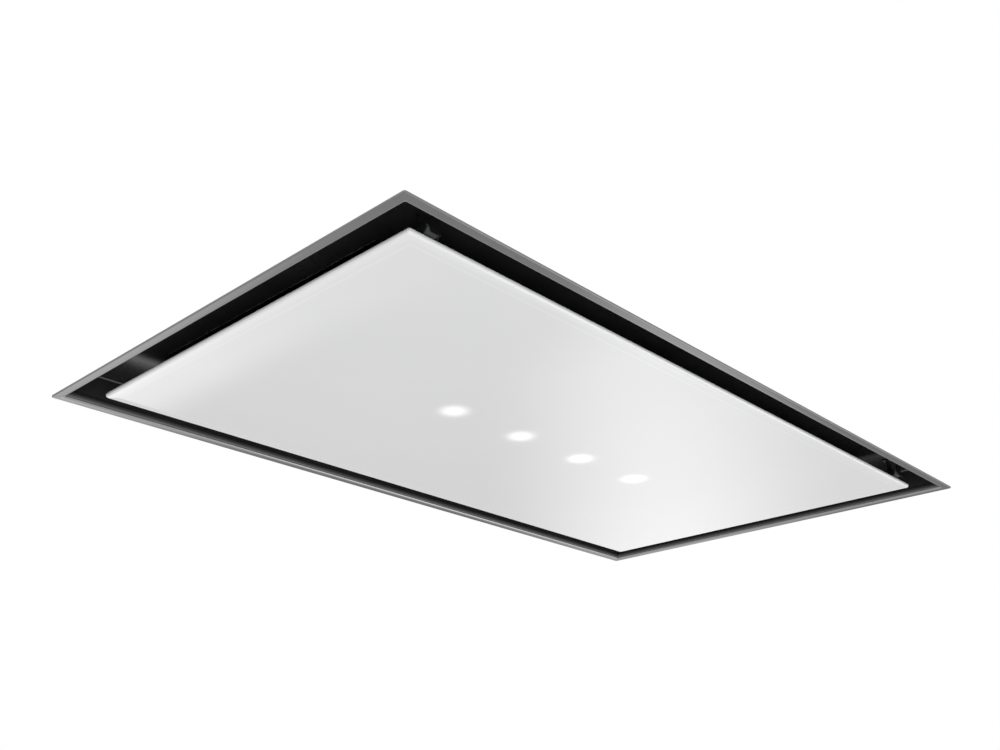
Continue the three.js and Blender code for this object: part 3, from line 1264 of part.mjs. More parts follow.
/** The inlet gland of the mains lead: a threaded body, a hexagon, a domed nut and a back nut. */
function cableGland() {
  const r = GLAND_RADIUS - FIT;
  const hex = r + GLAND_HEX;
  const face = SEAT;
  const shoulder = face + GLAND_HEX_LENGTH;
  const dome = r + GLAND_DOME;
  const body = revolve([
    [GLAND_BORE, -GLAND_TAIL], [r, -GLAND_TAIL], [r, face], [hex, face], [hex, shoulder],
    [dome, shoulder + SHEET], [dome, GLAND_LENGTH - 2 * GLAND_DOME],
    [r - SHEET, GLAND_LENGTH], [GLAND_BORE, GLAND_LENGTH],
  ], SMALL_ROUND).rotate([-QUARTER, 0, 0]);
  const inside = -SHEET - SEAT;
  const backNut = cut(
    raised(roundOutline(r + NUT_RIM, NUT_SIDES), inside - NUT, inside),
    rod(r - SHEET, -GLAND_TAIL - REACH, REACH),
  ).rotate([-QUARTER, 0, 0]);
  return moved(join(body, backNut), GLAND_X, CONTROL_BACK, LEAD_Z);
}

// ---------- Leads ----------

/** The motor's lead, from the electronics box into the blower box. */
function motorLead() {
  const at = (x, z = LEAD_Z) => [x, MOTOR_LEAD_Y, z];
  return lead([
    at(CONTROL_RIGHT - MOTOR_LEAD_INSIDE),
    at(CONTROL_RIGHT - LEAD_STRAIGHT),
    at(CONTROL_RIGHT + LEAD_STRAIGHT),
    at((CONTROL_RIGHT + BOX_LEFT) / 2, LEAD_Z - MOTOR_LEAD_SAG),
    at(BOX_LEFT - LEAD_STRAIGHT),
    at(BOX_LEFT + LEAD_STRAIGHT),
    at(BOX_LEFT + MOTOR_LEAD_INSIDE),
  ], MOTOR_LEAD_RADIUS, MOTOR_LEAD_STEPS);
}

/** A rubber grommet in a wall that faces X, round the motor's lead. */
function grommet() {
  const bore = MOTOR_LEAD_RADIUS + 2 * FIT;
  const r = GROMMET_BORE - FIT / 2;
  const half = SHEET / 2 + SEAT;
  const end = half + GROMMET_LIP;
  const lip = r + GROMMET_LIP;
  return revolve([
    [bore, -end], [lip - GROMMET_DOME, GROMMET_DOME - end], [lip, -half], [r, -half],
    [r, half], [lip, half], [lip - GROMMET_DOME, end - GROMMET_DOME], [bore, end],
  ], SMALL_ROUND).rotate([0, QUARTER, 0]);
}

/** The lamps' lead: down through the plenum and the tray, to its end on the hinge axis. */
function lampLead() {
  const down = (z) => [LAMP_LEAD_TOP_X, LAMP_LEAD_TOP_Y, z];
  const through = (z) => [LAMP_LEAD_X, LAMP_LEAD_Y, z];
  const bend = LEAD_STRAIGHT / 2;
  return lead([
    down(CONTROL_FLOOR + 2 * LEAD_STRAIGHT),
    down(CONTROL_FLOOR + SHEET),
    down(CASING_TOP - 2 * LEAD_STRAIGHT),
    [LAMP_LEAD_TOP_X, (LAMP_LEAD_TOP_Y + LAMP_LEAD_Y) / 2, (CASING_TOP + RECESS_DEPTH) / 2],
    through(RECESS_DEPTH + 3 * LEAD_STRAIGHT),
    through(RECESS_DEPTH + LEAD_STRAIGHT),
    through(RECESS_DEPTH - LEAD_STRAIGHT),
    [LAMP_LEAD_X + bend, HINGE_Y - bend, HINGE_Z + bend],
    [LEAD_MEET - LEAD_STRAIGHT, HINGE_Y, HINGE_Z],
    [LEAD_MEET - RUNNING / 2, HINGE_Y, HINGE_Z],
  ], LAMP_LEAD_RADIUS, LAMP_LEAD_STEPS);
}

/** The panel's own lead, from the hinge axis into the carrier and past the four lamps. */
function panelLoom() {
  const beside = LAMP_BODY_RADIUS + LAMP_LEAD_RADIUS + SHEET;
  const [first] = LAMP_CENTRES;
  const turn = CARRIER_Y - LOOM_TURN;
  return lead([
    [LEAD_MEET + RUNNING / 2, HINGE_Y, HINGE_Z],
    [LEAD_MEET + LEAD_STRAIGHT / 2, HINGE_Y, HINGE_Z],
    [LOOM_X, HINGE_Y - LEAD_STRAIGHT, (HINGE_Z + LOOM_Z) / 2],
    [LOOM_X, CARRIER_Y + LEAD_STRAIGHT, LOOM_Z],
    [LOOM_X, CARRIER_Y - LEAD_STRAIGHT, LOOM_Z],
    [LOOM_X + LOOM_TURN / 2, turn, LOOM_Z],
    [first - LOOM_TURN, beside + LOOM_TURN / 3, LOOM_Z],
    ...LAMP_CENTRES.map((x) => [x, beside, LOOM_Z]),
  ], LAMP_LEAD_RADIUS, LOOM_STEPS);
}

// ---------- The assembly ----------

/** Adds a mesh to a group, and says where it sits and how it is turned about Z. */
function place(group, mesh, x = 0, y = 0, z = 0, turned = 0) {
  mesh.position.set(x, y, z);
  mesh.rotation.z = turned;
  group.add(mesh);
}

function fixedCasing() {
  const group = new THREE.Group();
  place(group, piece('casing_shell', casing(), 'galvanised'));
  place(group, piece('trim_frame', trimFrame(), 'brushedSteel'));
  place(group, piece('ceiling_seal', ceilingSeal(), 'foam'));
  place(group, piece('recess_tray', recessTray(), 'glossBlack'));
  const wall = PLENUM_X + SEAT;
  place(group, piece('hanger_front_right', hanger(), 'zinc'), wall, -HANGER_Y);
  place(group, piece('hanger_back_right', hanger(), 'zinc'), wall, HANGER_Y);
  place(group, piece('hanger_front_left', hanger(), 'zinc'), -wall, -HANGER_Y, 0, Math.PI);
  place(group, piece('hanger_back_left', hanger(), 'zinc'), -wall, HANGER_Y, 0, Math.PI);
  return group;
}

function panel() {
  const group = new THREE.Group();
  place(group, piece('panel_glass', panelGlass(), 'whiteGlass'));
  place(group, piece('panel_carrier', panelCarrier(), 'glossBlack'));
  place(group, piece('panel_cover', panelCover(), 'glossBlack'));
  place(group, piece('panel_loom', panelLoom(), 'greyLead'));
  LAMP_CENTRES.forEach((x, i) => {
    place(group, piece(`lamp_lens_${i + 1}`, lampLens(), 'lens'), x);
    place(group, piece(`lamp_body_${i + 1}`, lampBody(), 'aluminium'), x);
  });
  return group;
}

function hingesAndCatches() {
  const group = new THREE.Group();
  [['left', -1], ['right', 1]].forEach(([side, way]) => {
    const hinge = new THREE.Group();
    hinge.position.set(way * HINGE_X, HINGE_Y, HINGE_Z);
    place(hinge, piece(`hinge_bracket_${side}`, hingeBracket(), 'zinc'));
    place(hinge, piece(`hinge_pin_${side}`, hingePin(), 'zinc'));
    place(hinge, piece(`hinge_arm_${side}`, hingeArm(), 'zinc'));
    const catchGroup = new THREE.Group();
    catchGroup.position.set(way * CATCH_X, ROLLER_Y, CATCH_Z);
    place(catchGroup, piece(`catch_clip_${side}`, catchClip(), 'zinc'));
    place(catchGroup, piece(`catch_bracket_${side}`, catchBracket(), 'zinc'));
    place(catchGroup, piece(`catch_roller_${side}`, catchRoller(), 'greyPlastic'));
    group.add(hinge, catchGroup);
  });
  return group;
}

function filters() {
  const group = new THREE.Group();
  [['left', 0], ['right', 1]].forEach(([side, i]) => {
    const x = FILTER_CENTRES[i];
    place(group, piece(`filter_frame_${side}`, filterFrame(), 'brushedSteel'), x);
    place(group, piece(`filter_core_${side}`, filterCore(), 'aluminium'), x);
    place(group, piece(`filter_latch_${side}`, filterLatch(), 'blackPlastic'), x);
  });
  return group;
}

function blower() {
  const group = new THREE.Group();
  place(group, piece('blower_box', blowerBox(), 'galvanised'));
  place(group, piece('blower_lid', blowerLid(), 'galvanised'));
  place(group, piece('scroll_lower', scrollLower(), 'blackPlastic'));
  place(group, piece('scroll_upper', scrollUpper(), 'blackPlastic'));
  place(group, piece('inlet_ring', inletRing(), 'blackPlastic'), BLOWER_X, BLOWER_Y);
  place(group, piece('impeller', impeller(), 'greyPlastic'), BLOWER_X, BLOWER_Y);
  place(group, piece('motor_rotor', motorRotor(), 'zinc'), BLOWER_X, BLOWER_Y);
  place(group, piece('motor_stator', motorStator(), 'aluminium'), BLOWER_X, BLOWER_Y);
  place(group, piece('duct_collar', ductCollar(), 'blackPlastic'));
  const pin = rod(FLAP_PIN_RADIUS, -DUCT_RADIUS - FLAP_PIN_END, DUCT_RADIUS + FLAP_PIN_END);
  place(group, piece('flap_pin', pin, 'zinc'), FLAP_X, DUCT_Y, COLLAR_Z);
  place(group, piece('flap_back', damperFlap(1), 'greyPlastic'), FLAP_X, DUCT_Y, COLLAR_Z);
  place(group, piece('flap_front', damperFlap(-1), 'greyPlastic'), FLAP_X, DUCT_Y, COLLAR_Z);
  return group;
}

function electronics() {
  const group = new THREE.Group();
  place(group, piece('electronics_box', electronicsBox(), 'galvanised'));
  place(group, piece('electronics_lid', electronicsLid(), 'galvanised'));
  place(group, piece('control_board', controlBoard(), 'board'));
  place(group, piece('lamp_supply', lampSupply(), 'blackPlastic'));
  place(group, piece('terminal_block', terminalBlock(), 'greenPlastic'));
  place(group, piece('cable_gland', cableGland(), 'greyPlastic'));
  place(group, piece('motor_lead', motorLead(), 'greyLead'));
  place(group, piece('lamp_lead', lampLead(), 'greyLead'));
  const outerX = CONTROL_RIGHT - SHEET / 2;
  const innerX = BOX_LEFT + SHEET / 2;
  place(group, piece('grommet_electronics', grommet(), 'rubber'), outerX, MOTOR_LEAD_Y, LEAD_Z);
  place(group, piece('grommet_blower', grommet(), 'rubber'), innerX, MOTOR_LEAD_Y, LEAD_Z);
  return group;
}

const hood = new THREE.Group();
hood.name = 'ceiling_range_hood';
hood.add(fixedCasing(), panel(), hingesAndCatches(), filters(), blower(), electronics());

export default hood;
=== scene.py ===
"""The finish and the fine detail of a ceiling range hood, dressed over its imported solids.

Lengths are in metres in the part's own frame: X runs along the long side, the front is at
minus Y, Z points up, and the underside of the flange is at zero.
"""

from __future__ import annotations

import logging
import math
from abc import ABC, abstractmethod
from dataclasses import dataclass
from enum import Enum
from typing import Any, Iterable, Sequence, Union

import bmesh
import bpy
from mathutils import Matrix, Vector

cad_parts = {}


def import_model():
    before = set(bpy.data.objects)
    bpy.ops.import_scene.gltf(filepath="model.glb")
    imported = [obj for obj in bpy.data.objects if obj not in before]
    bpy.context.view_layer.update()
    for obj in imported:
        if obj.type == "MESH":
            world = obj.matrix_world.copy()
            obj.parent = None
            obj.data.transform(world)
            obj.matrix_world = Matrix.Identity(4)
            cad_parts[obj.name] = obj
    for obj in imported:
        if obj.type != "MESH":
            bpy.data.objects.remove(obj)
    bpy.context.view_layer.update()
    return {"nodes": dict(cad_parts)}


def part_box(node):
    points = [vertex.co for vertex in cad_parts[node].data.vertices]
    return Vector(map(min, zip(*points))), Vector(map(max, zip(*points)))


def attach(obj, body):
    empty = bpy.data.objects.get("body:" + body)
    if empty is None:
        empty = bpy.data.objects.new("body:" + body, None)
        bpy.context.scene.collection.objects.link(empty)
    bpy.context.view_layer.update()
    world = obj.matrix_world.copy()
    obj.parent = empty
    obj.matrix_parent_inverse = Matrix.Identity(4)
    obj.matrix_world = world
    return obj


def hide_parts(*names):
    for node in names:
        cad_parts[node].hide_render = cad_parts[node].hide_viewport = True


LOG = logging.getLogger("ceiling_hood")
DOWN = Vector((0, 0, -1))
UP = Vector((0, 0, 1))
SIDES = ("left", "right")
HANGER_CORNERS = ("front_right", "back_right", "front_left", "back_left")
LAMP_NUMBERS = range(1, 5)
SAME_PLACE = 1e-6  # metres within which two points count as one
PLACE_DIGITS = 7  # decimals of a metre to which parts are ordered by their places
SOLID_WELD = 2e-6  # metres within which a solid's loose corners are joined
SHARP_ANGLE = 32.0  # degrees from which an edge counts as sharp
HEAD_TURN = 0.7  # radians between the recesses of neighbouring heads
SMALL_STEPS = 16  # flats round a weld or a small rivet

# The Mix node's sockets when it blends colours.
MIX_FACTOR, MIX_FIRST, MIX_SECOND, MIX_RESULT = 0, 6, 7, 2

# Sections of a head from its foot to its middle, as shares of its radius and its height.
CROWN = ((1.0, -0.2), (1.0, 0.42), (0.93, 0.68), (0.74, 0.9))
RIVET_TOP = ((0.4, 0.99), (0.16, 1.0), (0.13, 0.8), (0.0, 0.78))
DRIVE_TOP = ((0.52, 1.0), (0.5, 0.97), (0.46, 0.4), (0.0, 0.3))
RECESS_REACH = 0.51  # share of a head's radius within which its recess lies
WASHER_LIFT = 0.3  # a washer's thickness, as a share of the head's height
STAR_LOBES = 6
STAR_MEAN, STAR_DEPTH = 0.84, 0.16

Source = Union[bpy.types.NodeSocket, float, Sequence[float], None]
Stops = Sequence[tuple[float, Sequence[float]]]
Place = tuple[Sequence[float], Sequence[float]]
Part = Union[bmesh.types.BMVert, bmesh.types.BMEdge, bmesh.types.BMFace]


class Body(Enum):
    """The bodies that a new piece can ride on."""

    CASING = "casing"
    PANEL = "panel"


class Slot(Enum):
    """The finish names that a new piece can be handed."""

    TRIM = "brushed_trim"
    GALVANISED = "galvanised"
    GLASS = "white_glass"
    ALUMINIUM = "aluminium"
    ZINC = "zinc"
    GREY_PLASTIC = "grey_plastic"


class Drive(Enum):
    """The recess in the crown of a screw."""

    NONE = "none"
    STAR = "star"
    HEXAGON = "hexagon"


def grey(level: float, warmth: float = 0.0) -> tuple[float, float, float]:
    """A near-neutral linear colour; a positive warmth leans it to yellow."""
    return (level * (1 + warmth), level, level * (1 - warmth))


def toned(colour: Sequence[float], factor: float) -> tuple[float, ...]:
    """A colour made darker or lighter, held at full white."""
    return tuple(min(1.0, part * factor) for part in colour)


class Graph:
    """The node graph of one material, ending in its Principled shader."""

    def __init__(self, name: str) -> None:
        """Starts an empty material.

        Args:
            name: The material's name.
        """
        self.material = bpy.data.materials.new(name)
        self.material.use_nodes = True
        self.nodes = self.material.node_tree.nodes
        self.links = self.material.node_tree.links
        self.shader = self.nodes["Principled BSDF"]
        self.place = self.nodes.new("ShaderNodeTexCoord").outputs["Object"]

    def feed(self, socket: bpy.types.NodeSocket, source: Source) -> None:
        """Links a socket to another, or sets its value.

        Args:
            socket: The input to feed.
            source: A socket to link, or a value; None leaves the input as it is.
        """
        if isinstance(source, bpy.types.NodeSocket):
            self.links.new(source, socket)
        elif source is not None:
            colour = hasattr(socket.default_value, "__len__") and len(socket.default_value) == 4
            socket.default_value = (*source, 1) if colour and len(source) == 3 else source

    def add(self, kind: str, sources: dict[Any, Source], **settings: Any) -> bpy.types.Node:
        """Adds a node.

        Args:
            kind: The node's type, without its ShaderNode prefix.
            sources: What each input, by name or number, is fed.
            settings: The node's own options.

        Returns:
            The new node.
        """
        node = self.nodes.new(f"ShaderNode{kind}")
        for key, value in settings.items():
            setattr(node, key, value)
        for key, source in sources.items():
            self.feed(node.inputs[key], source)
        return node

    def math(self, operation: str, a: Source, b: Source = None) -> bpy.types.NodeSocket:
        """One scalar operation."""
        return self.add("Math", {0: a, 1: b}, operation=operation).outputs[0]

    def vector(self, operation: str, a: Source, b: Source = None) -> bpy.types.NodeSocket:
        """One vector operation."""
        return self.add("VectorMath", {0: a, 1: b}, operation=operation).outputs[0]

    def total(self, *parts: tuple[Source, float]) -> bpy.types.NodeSocket:
        """The sum of several values, each times its weight.

        Args:
            parts: Each value and its weight.

        Returns:
            The sum's socket.
        """
        *others, (last, last_weight) = parts
        result = self.math("MULTIPLY", last, last_weight)
        for value, weight in reversed(others):
            result = self.math("ADD", self.math("MULTIPLY", value, weight), result)
        return result

    def axes(self, source: Source) -> list[bpy.types.NodeSocket]:
        """The three parts of a vector."""
        return list(self.add("SeparateXYZ", {0: source}).outputs)

    def combine(self, x: Source, y: Source, z: Source) -> bpy.types.NodeSocket:
        """A vector from its three parts."""
        return self.add("CombineXYZ", {0: x, 1: y, 2: z}).outputs[0]

    def noise(
        self, scale: float, detail: float = 3, rough: float = 0.5, at: Source = None
    ) -> bpy.types.NodeSocket:
        """A cloudy value from 0 to 1.

        Args:
            scale: Clouds per metre.
            detail: How many finer layers it has.
            rough: How strong the finer layers are.
            at: Where it is read; the object's own coordinates if left out.

        Returns:
            The value's socket.
        """
        place = self.place if at is None else at
        return self.add(
            "TexNoise", {"Vector": place, "Scale": scale, "Detail": detail, "Roughness": rough}
        ).outputs[0]

    def cells(self, scale: float, at: Source = None, feature: str = "F1") -> bpy.types.Node:
        """A pattern of grown cells."""
        place = self.place if at is None else at
        return self.add("TexVoronoi", {"Vector": place, "Scale": scale}, feature=feature)

    def ramp(self, factor: Source, stops: Stops) -> bpy.types.NodeSocket:
        """A colour that follows a value through its stops.

        Args:
            factor: The value that is followed.
            stops: Each stop's place and colour.

        Returns:
            The colour's socket.
        """
        node = self.add("ValToRGB", {0: factor})
        band = node.color_ramp
        while len(band.elements) < len(stops):
            band.elements.new(1.0)
        for element, (position, colour) in zip(band.elements, stops):
            element.position = position
            element.color = (*colour, 1)
        return node.outputs[0]

    def span(
        self, value: Source, low: float, high: float, to_low: float, to_high: float,
        curve: str = "LINEAR",
    ) -> bpy.types.NodeSocket:
        """A value carried from one range to another, held at its ends.

        Args:
            value: The value that is carried over.
            low: Start of its own range.
            high: End of its own range.
            to_low: What the start becomes.
            to_high: What the end becomes.
            curve: How it runs between the two.

        Returns:
            The new value's socket.
        """
        return self.add(
            "MapRange", {0: value, 1: low, 2: high, 3: to_low, 4: to_high},
            interpolation_type=curve,
        ).outputs[0]

    def mix(self, factor: Source, a: Source, b: Source) -> bpy.types.NodeSocket:
        """A blend of two colours.

        Args:
            factor: The share of the second colour.
            a: The first colour.
            b: The second colour.

        Returns:
            The blend's socket.
        """
        node = self.nodes.new("ShaderNodeMix")
        node.data_type = "RGBA"
        for index, source in ((MIX_FACTOR, factor), (MIX_FIRST, a), (MIX_SECOND, b)):
            self.feed(node.inputs[index], source)
        return node.outputs[MIX_RESULT]

    def bump(self, height: Source, distance: float, strength: float) -> bpy.types.NodeSocket:
        """A surface relief.

        Args:
            height: The relief's pattern.
            distance: Its depth in metres.
            strength: How fully it shows.

        Returns:
            The normal's socket.
        """
        return self.add(
            "Bump", {"Strength": strength, "Distance": distance, "Height": height}
        ).outputs[0]

    def finish(self, **sources: Source) -> bpy.types.Material:
        """Feeds the shader's inputs, named with underscores, and gives the material.

        Args:
            sources: What each input is fed, by its name with underscores.

        Returns:
            The material.
        """
        for key, source in sources.items():
            self.feed(self.shader.inputs[key.replace("_", " ")], source)
        return self.material


class Finish(ABC):
    """A surface finish that is made into a material once."""

    made: dict["Finish", bpy.types.Material] = {}

    def material(self) -> bpy.types.Material:
        """The finish's material, built at its first use.

        Returns:
            The material.
        """
        if self not in Finish.made:
            Finish.made[self] = self.build()
        return Finish.made[self]

    @abstractmethod
    def build(self) -> bpy.types.Material:
        """Builds the node graph."""


@dataclass(frozen=True)
class BrushedFlange(Finish):
    """Satin steel, ground along each side of a frame and mitred at its corners."""

    half_length: float
    half_width: float
    level: float = 0.23
    roughness: float = 0.22
    grain_across: float = 900.0
    grain_along: float = 6.0
    grain_depth: float = 0.00002
    bend: float = 0.0068
    bend_top: float = 0.0026
    bend_blend: float = 0.0006
    top_blend: float = 0.001

    def build(self) -> bpy.types.Material:
        """Grain that turns at each mitre, and a painted highlight along the rolled inner edge.

        Returns:
            The material.
        """
        g = Graph("satin_flange_steel")
        x, y, z = g.axes(g.place)
        to_end = g.math("SUBTRACT", self.half_length, g.math("ABSOLUTE", x))
        to_side = g.math("SUBTRACT", self.half_width, g.math("ABSOLUTE", y))
        end = g.math("LESS_THAN", to_end, to_side)
        along = g.combine(
            g.math("MULTIPLY", x, self.grain_along), g.math("MULTIPLY", y, self.grain_across), z
        )
        across = g.combine(
            g.math("MULTIPLY", x, self.grain_across), g.math("MULTIPLY", y, self.grain_along), z
        )
        grain = g.noise(1.0, 5, 0.62, g.mix(end, along, across))
        tone = g.total((grain, 0.7), (g.noise(14.0, 3, 0.5), 0.3))
        low, high = self.level * 0.9, self.level * 1.1
        satin = g.ramp(tone, [(0.25, grey(low)), (0.75, grey(high))])
        inward = g.math("MINIMUM", to_end, to_side)
        # Painted highlight: the rolled inner edge is made half again as bright, where the bend
        # catches the light.
        painted_bend_highlight = g.math(
            "MULTIPLY",
            g.span(inward, self.bend, self.bend + self.bend_blend, 0.0, 1.0),
            g.span(z, self.bend_top - self.top_blend, self.bend_top, 1.0, 0.0),
        )
        return g.finish(
            Base_Color=g.mix(painted_bend_highlight, satin, grey(self.level * 1.5)),
            Metallic=1.0,
            Specular_Tint=(0.62, 0.62, 0.62),
            Roughness=g.span(tone, 0.2, 0.8, self.roughness * 0.86, self.roughness * 1.16),
            Normal=g.bump(grain, self.grain_depth, 0.25),
        )


@dataclass(frozen=True)
class ShadedLip(Finish):
    """A steel lip with painted shade that darkens it towards the dark recess above."""

    foot: float
    top: float
    lit_level: float = 0.24
    shaded_level: float = 0.006
    lit_height: float = 0.0004
    ragged: float = 0.0009
    speck_scale: float = 1800.0
    speck_depth: float = 0.00002

    def build(self) -> bpy.types.Material:
        """Painted shade: satin steel, bright at the foot, that fades to black at the top in fine
        specks.

        Returns:
            The material.
        """
        g = Graph("steel_lip_painted_shade")
        _, _, z = g.axes(g.place)
        specks = g.noise(self.speck_scale, 3, 0.6)
        height = g.math("ADD", z, g.math("MULTIPLY", specks, self.ragged))
        # Painted shade: the lip runs from bright steel at its foot to black at its top, towards the
        # dark recess above.
        rise = g.span(height, self.foot + self.lit_height, self.top, 0.0, 1.0)
        middle = self.lit_level * 0.36
        return g.finish(
            Base_Color=g.ramp(
                rise, [(0.0, grey(self.lit_level)), (0.35, grey(middle)), (0.85, grey(self.shaded_level))]
            ),
            Roughness=g.span(specks, 0.2, 0.8, 0.5, 0.62),
            Normal=g.bump(specks, self.speck_depth, 0.3),
        )


@dataclass(frozen=True)
class PlainMetal(Finish):
    """Plated, drawn or cast metal with soft tone and fine scratches."""

    name: str
    level: float = 0.45
    roughness: float = 0.34
    warmth: float = 0.0
    stretch: tuple[float, float, float] = (1.0, 1.0, 1.0)
    cloud_scale: float = 60.0
    scratch_scale: float = 420.0
    scratch_stretch: tuple[float, float, float] = (1.0, 0.12, 1.0)
    scratch_depth: float = 0.00003

    def build(self) -> bpy.types.Material:
        """A cloudy tone under fine scratches.

        Returns:
            The material.
        """
        g = Graph(self.name)
        at = g.vector("MULTIPLY", g.place, self.stretch)
        cloud = g.noise(self.cloud_scale, 4, 0.55, at)
        drawn = g.vector("MULTIPLY", at, self.scratch_stretch)
        scratch = g.noise(self.scratch_scale, 5, 0.7, drawn)
        tone = g.total((cloud, 0.6), (scratch, 0.4))
        low, high = self.level * 0.82, self.level * 1.12
        return g.finish(
            Base_Color=g.ramp(
                tone, [(0.3, grey(low, self.warmth)), (0.7, grey(high, self.warmth))]
            ),
            Metallic=1.0,
            Roughness=g.span(tone, 0.25, 0.75, self.roughness * 0.8, self.roughness * 1.25),
            Normal=g.bump(scratch, self.scratch_depth, 0.4),
        )


@dataclass(frozen=True)
class Galvanised(Finish):
    """Hot-dipped sheet steel with its zinc spangle."""

    name: str = "galvanised_sheet"
    level: float = 0.5
    spangle: float = 90.0
    small_spangle: float = 2.7
    wander_scale: float = 70.0
    wander_reach: float = 0.006
    streak_scale: float = 520.0
    streak_stretch: tuple[float, float, float] = (1.0, 0.2, 1.0)
    bloom_scale: float = 7.0
    relief_depth: float = 0.00005

    def build(self) -> bpy.types.Material:
        """Crystals of two sizes, each with its own tone and gloss, and a grey bloom.

        Returns:
            The material.
        """
        g = Graph(self.name)
        wander = g.noise(self.wander_scale, 2, 0.5)
        shift = g.add(
            "VectorMath",
            {0: g.combine(wander, wander, wander), "Scale": self.wander_reach},
            operation="SCALE",
        ).outputs[0]
        at = g.vector("ADD", g.place, shift)
        large = g.cells(self.spangle, at)
        small = g.cells(self.spangle * self.small_spangle, at)
        tone_large = g.axes(large.outputs["Color"])[0]
        tone_small = g.axes(small.outputs["Color"])[1]
        drawn = g.vector("MULTIPLY", g.place, self.streak_stretch)
        streak = g.noise(self.streak_scale, 4, 0.7, drawn)
        bloom = g.noise(self.bloom_scale, 4, 0.6)
        tone = g.total((tone_large, 0.5), (tone_small, 0.22), (streak, 0.28))
        metal = g.ramp(
            tone,
            [(0.1, grey(self.level * 0.72, -0.012)), (0.5, grey(self.level, -0.01)),
             (0.95, grey(self.level * 1.22, -0.006))],
        )
        dull = g.span(bloom, 0.45, 0.8, 0.0, 0.45)
        edge = g.span(
            g.cells(self.spangle, at, "DISTANCE_TO_EDGE").outputs["Distance"],
            0.0, 0.06, 1.0, 0.0,
        )
        relief = g.math("ADD", g.math("MULTIPLY", edge, -0.35), streak)
        gloss = g.span(tone, 0.0, 1.0, 0.3, 0.5)
        return g.finish(
            Base_Color=g.mix(dull, metal, grey(self.level * 0.86, -0.015)),
            Metallic=0.94,
            Roughness=g.math("ADD", gloss, g.math("MULTIPLY", dull, 0.2)),
            Normal=g.bump(relief, self.relief_depth, 0.35),
        )


@dataclass(frozen=True)
class GlossPaint(Finish):
    """Gloss powder coat with a faint orange peel and a little dust in its film."""

    name: str = "gloss_black_coat"
    level: float = 0.02
    roughness: float = 0.24
    peel: float = 0.00004
    ripple_scale: float = 330.0
    wave_scale: float = 38.0
    haze_scale: float = 11.0
    dust_scale: float = 900.0
    dust_level: float = 0.09

    def build(self) -> bpy.types.Material:
        """A dark film, mirror-like between its ripples.

        Returns:
            The material.
        """
        g = Graph(self.name)
        ripple = g.noise(self.ripple_scale, 2, 0.45)
        wave = g.noise(self.wave_scale, 2, 0.5)
        haze = g.noise(self.haze_scale, 4, 0.6)
        dust = g.span(g.cells(self.dust_scale).outputs["Distance"], 0.0, 0.12, 1.0, 0.0)
        shade = g.ramp(haze, [(0.3, grey(self.level * 0.75)), (0.75, grey(self.level * 1.5))])
        relief = g.math("ADD", ripple, g.math("MULTIPLY", wave, 1.6))
        return g.finish(
            Base_Color=g.mix(g.math("MULTIPLY", dust, 0.12), shade, grey(self.dust_level)),
            Roughness=g.span(haze, 0.3, 0.8, self.roughness * 0.85, self.roughness * 1.25),
            Normal=g.bump(relief, self.peel, 0.35),
        )


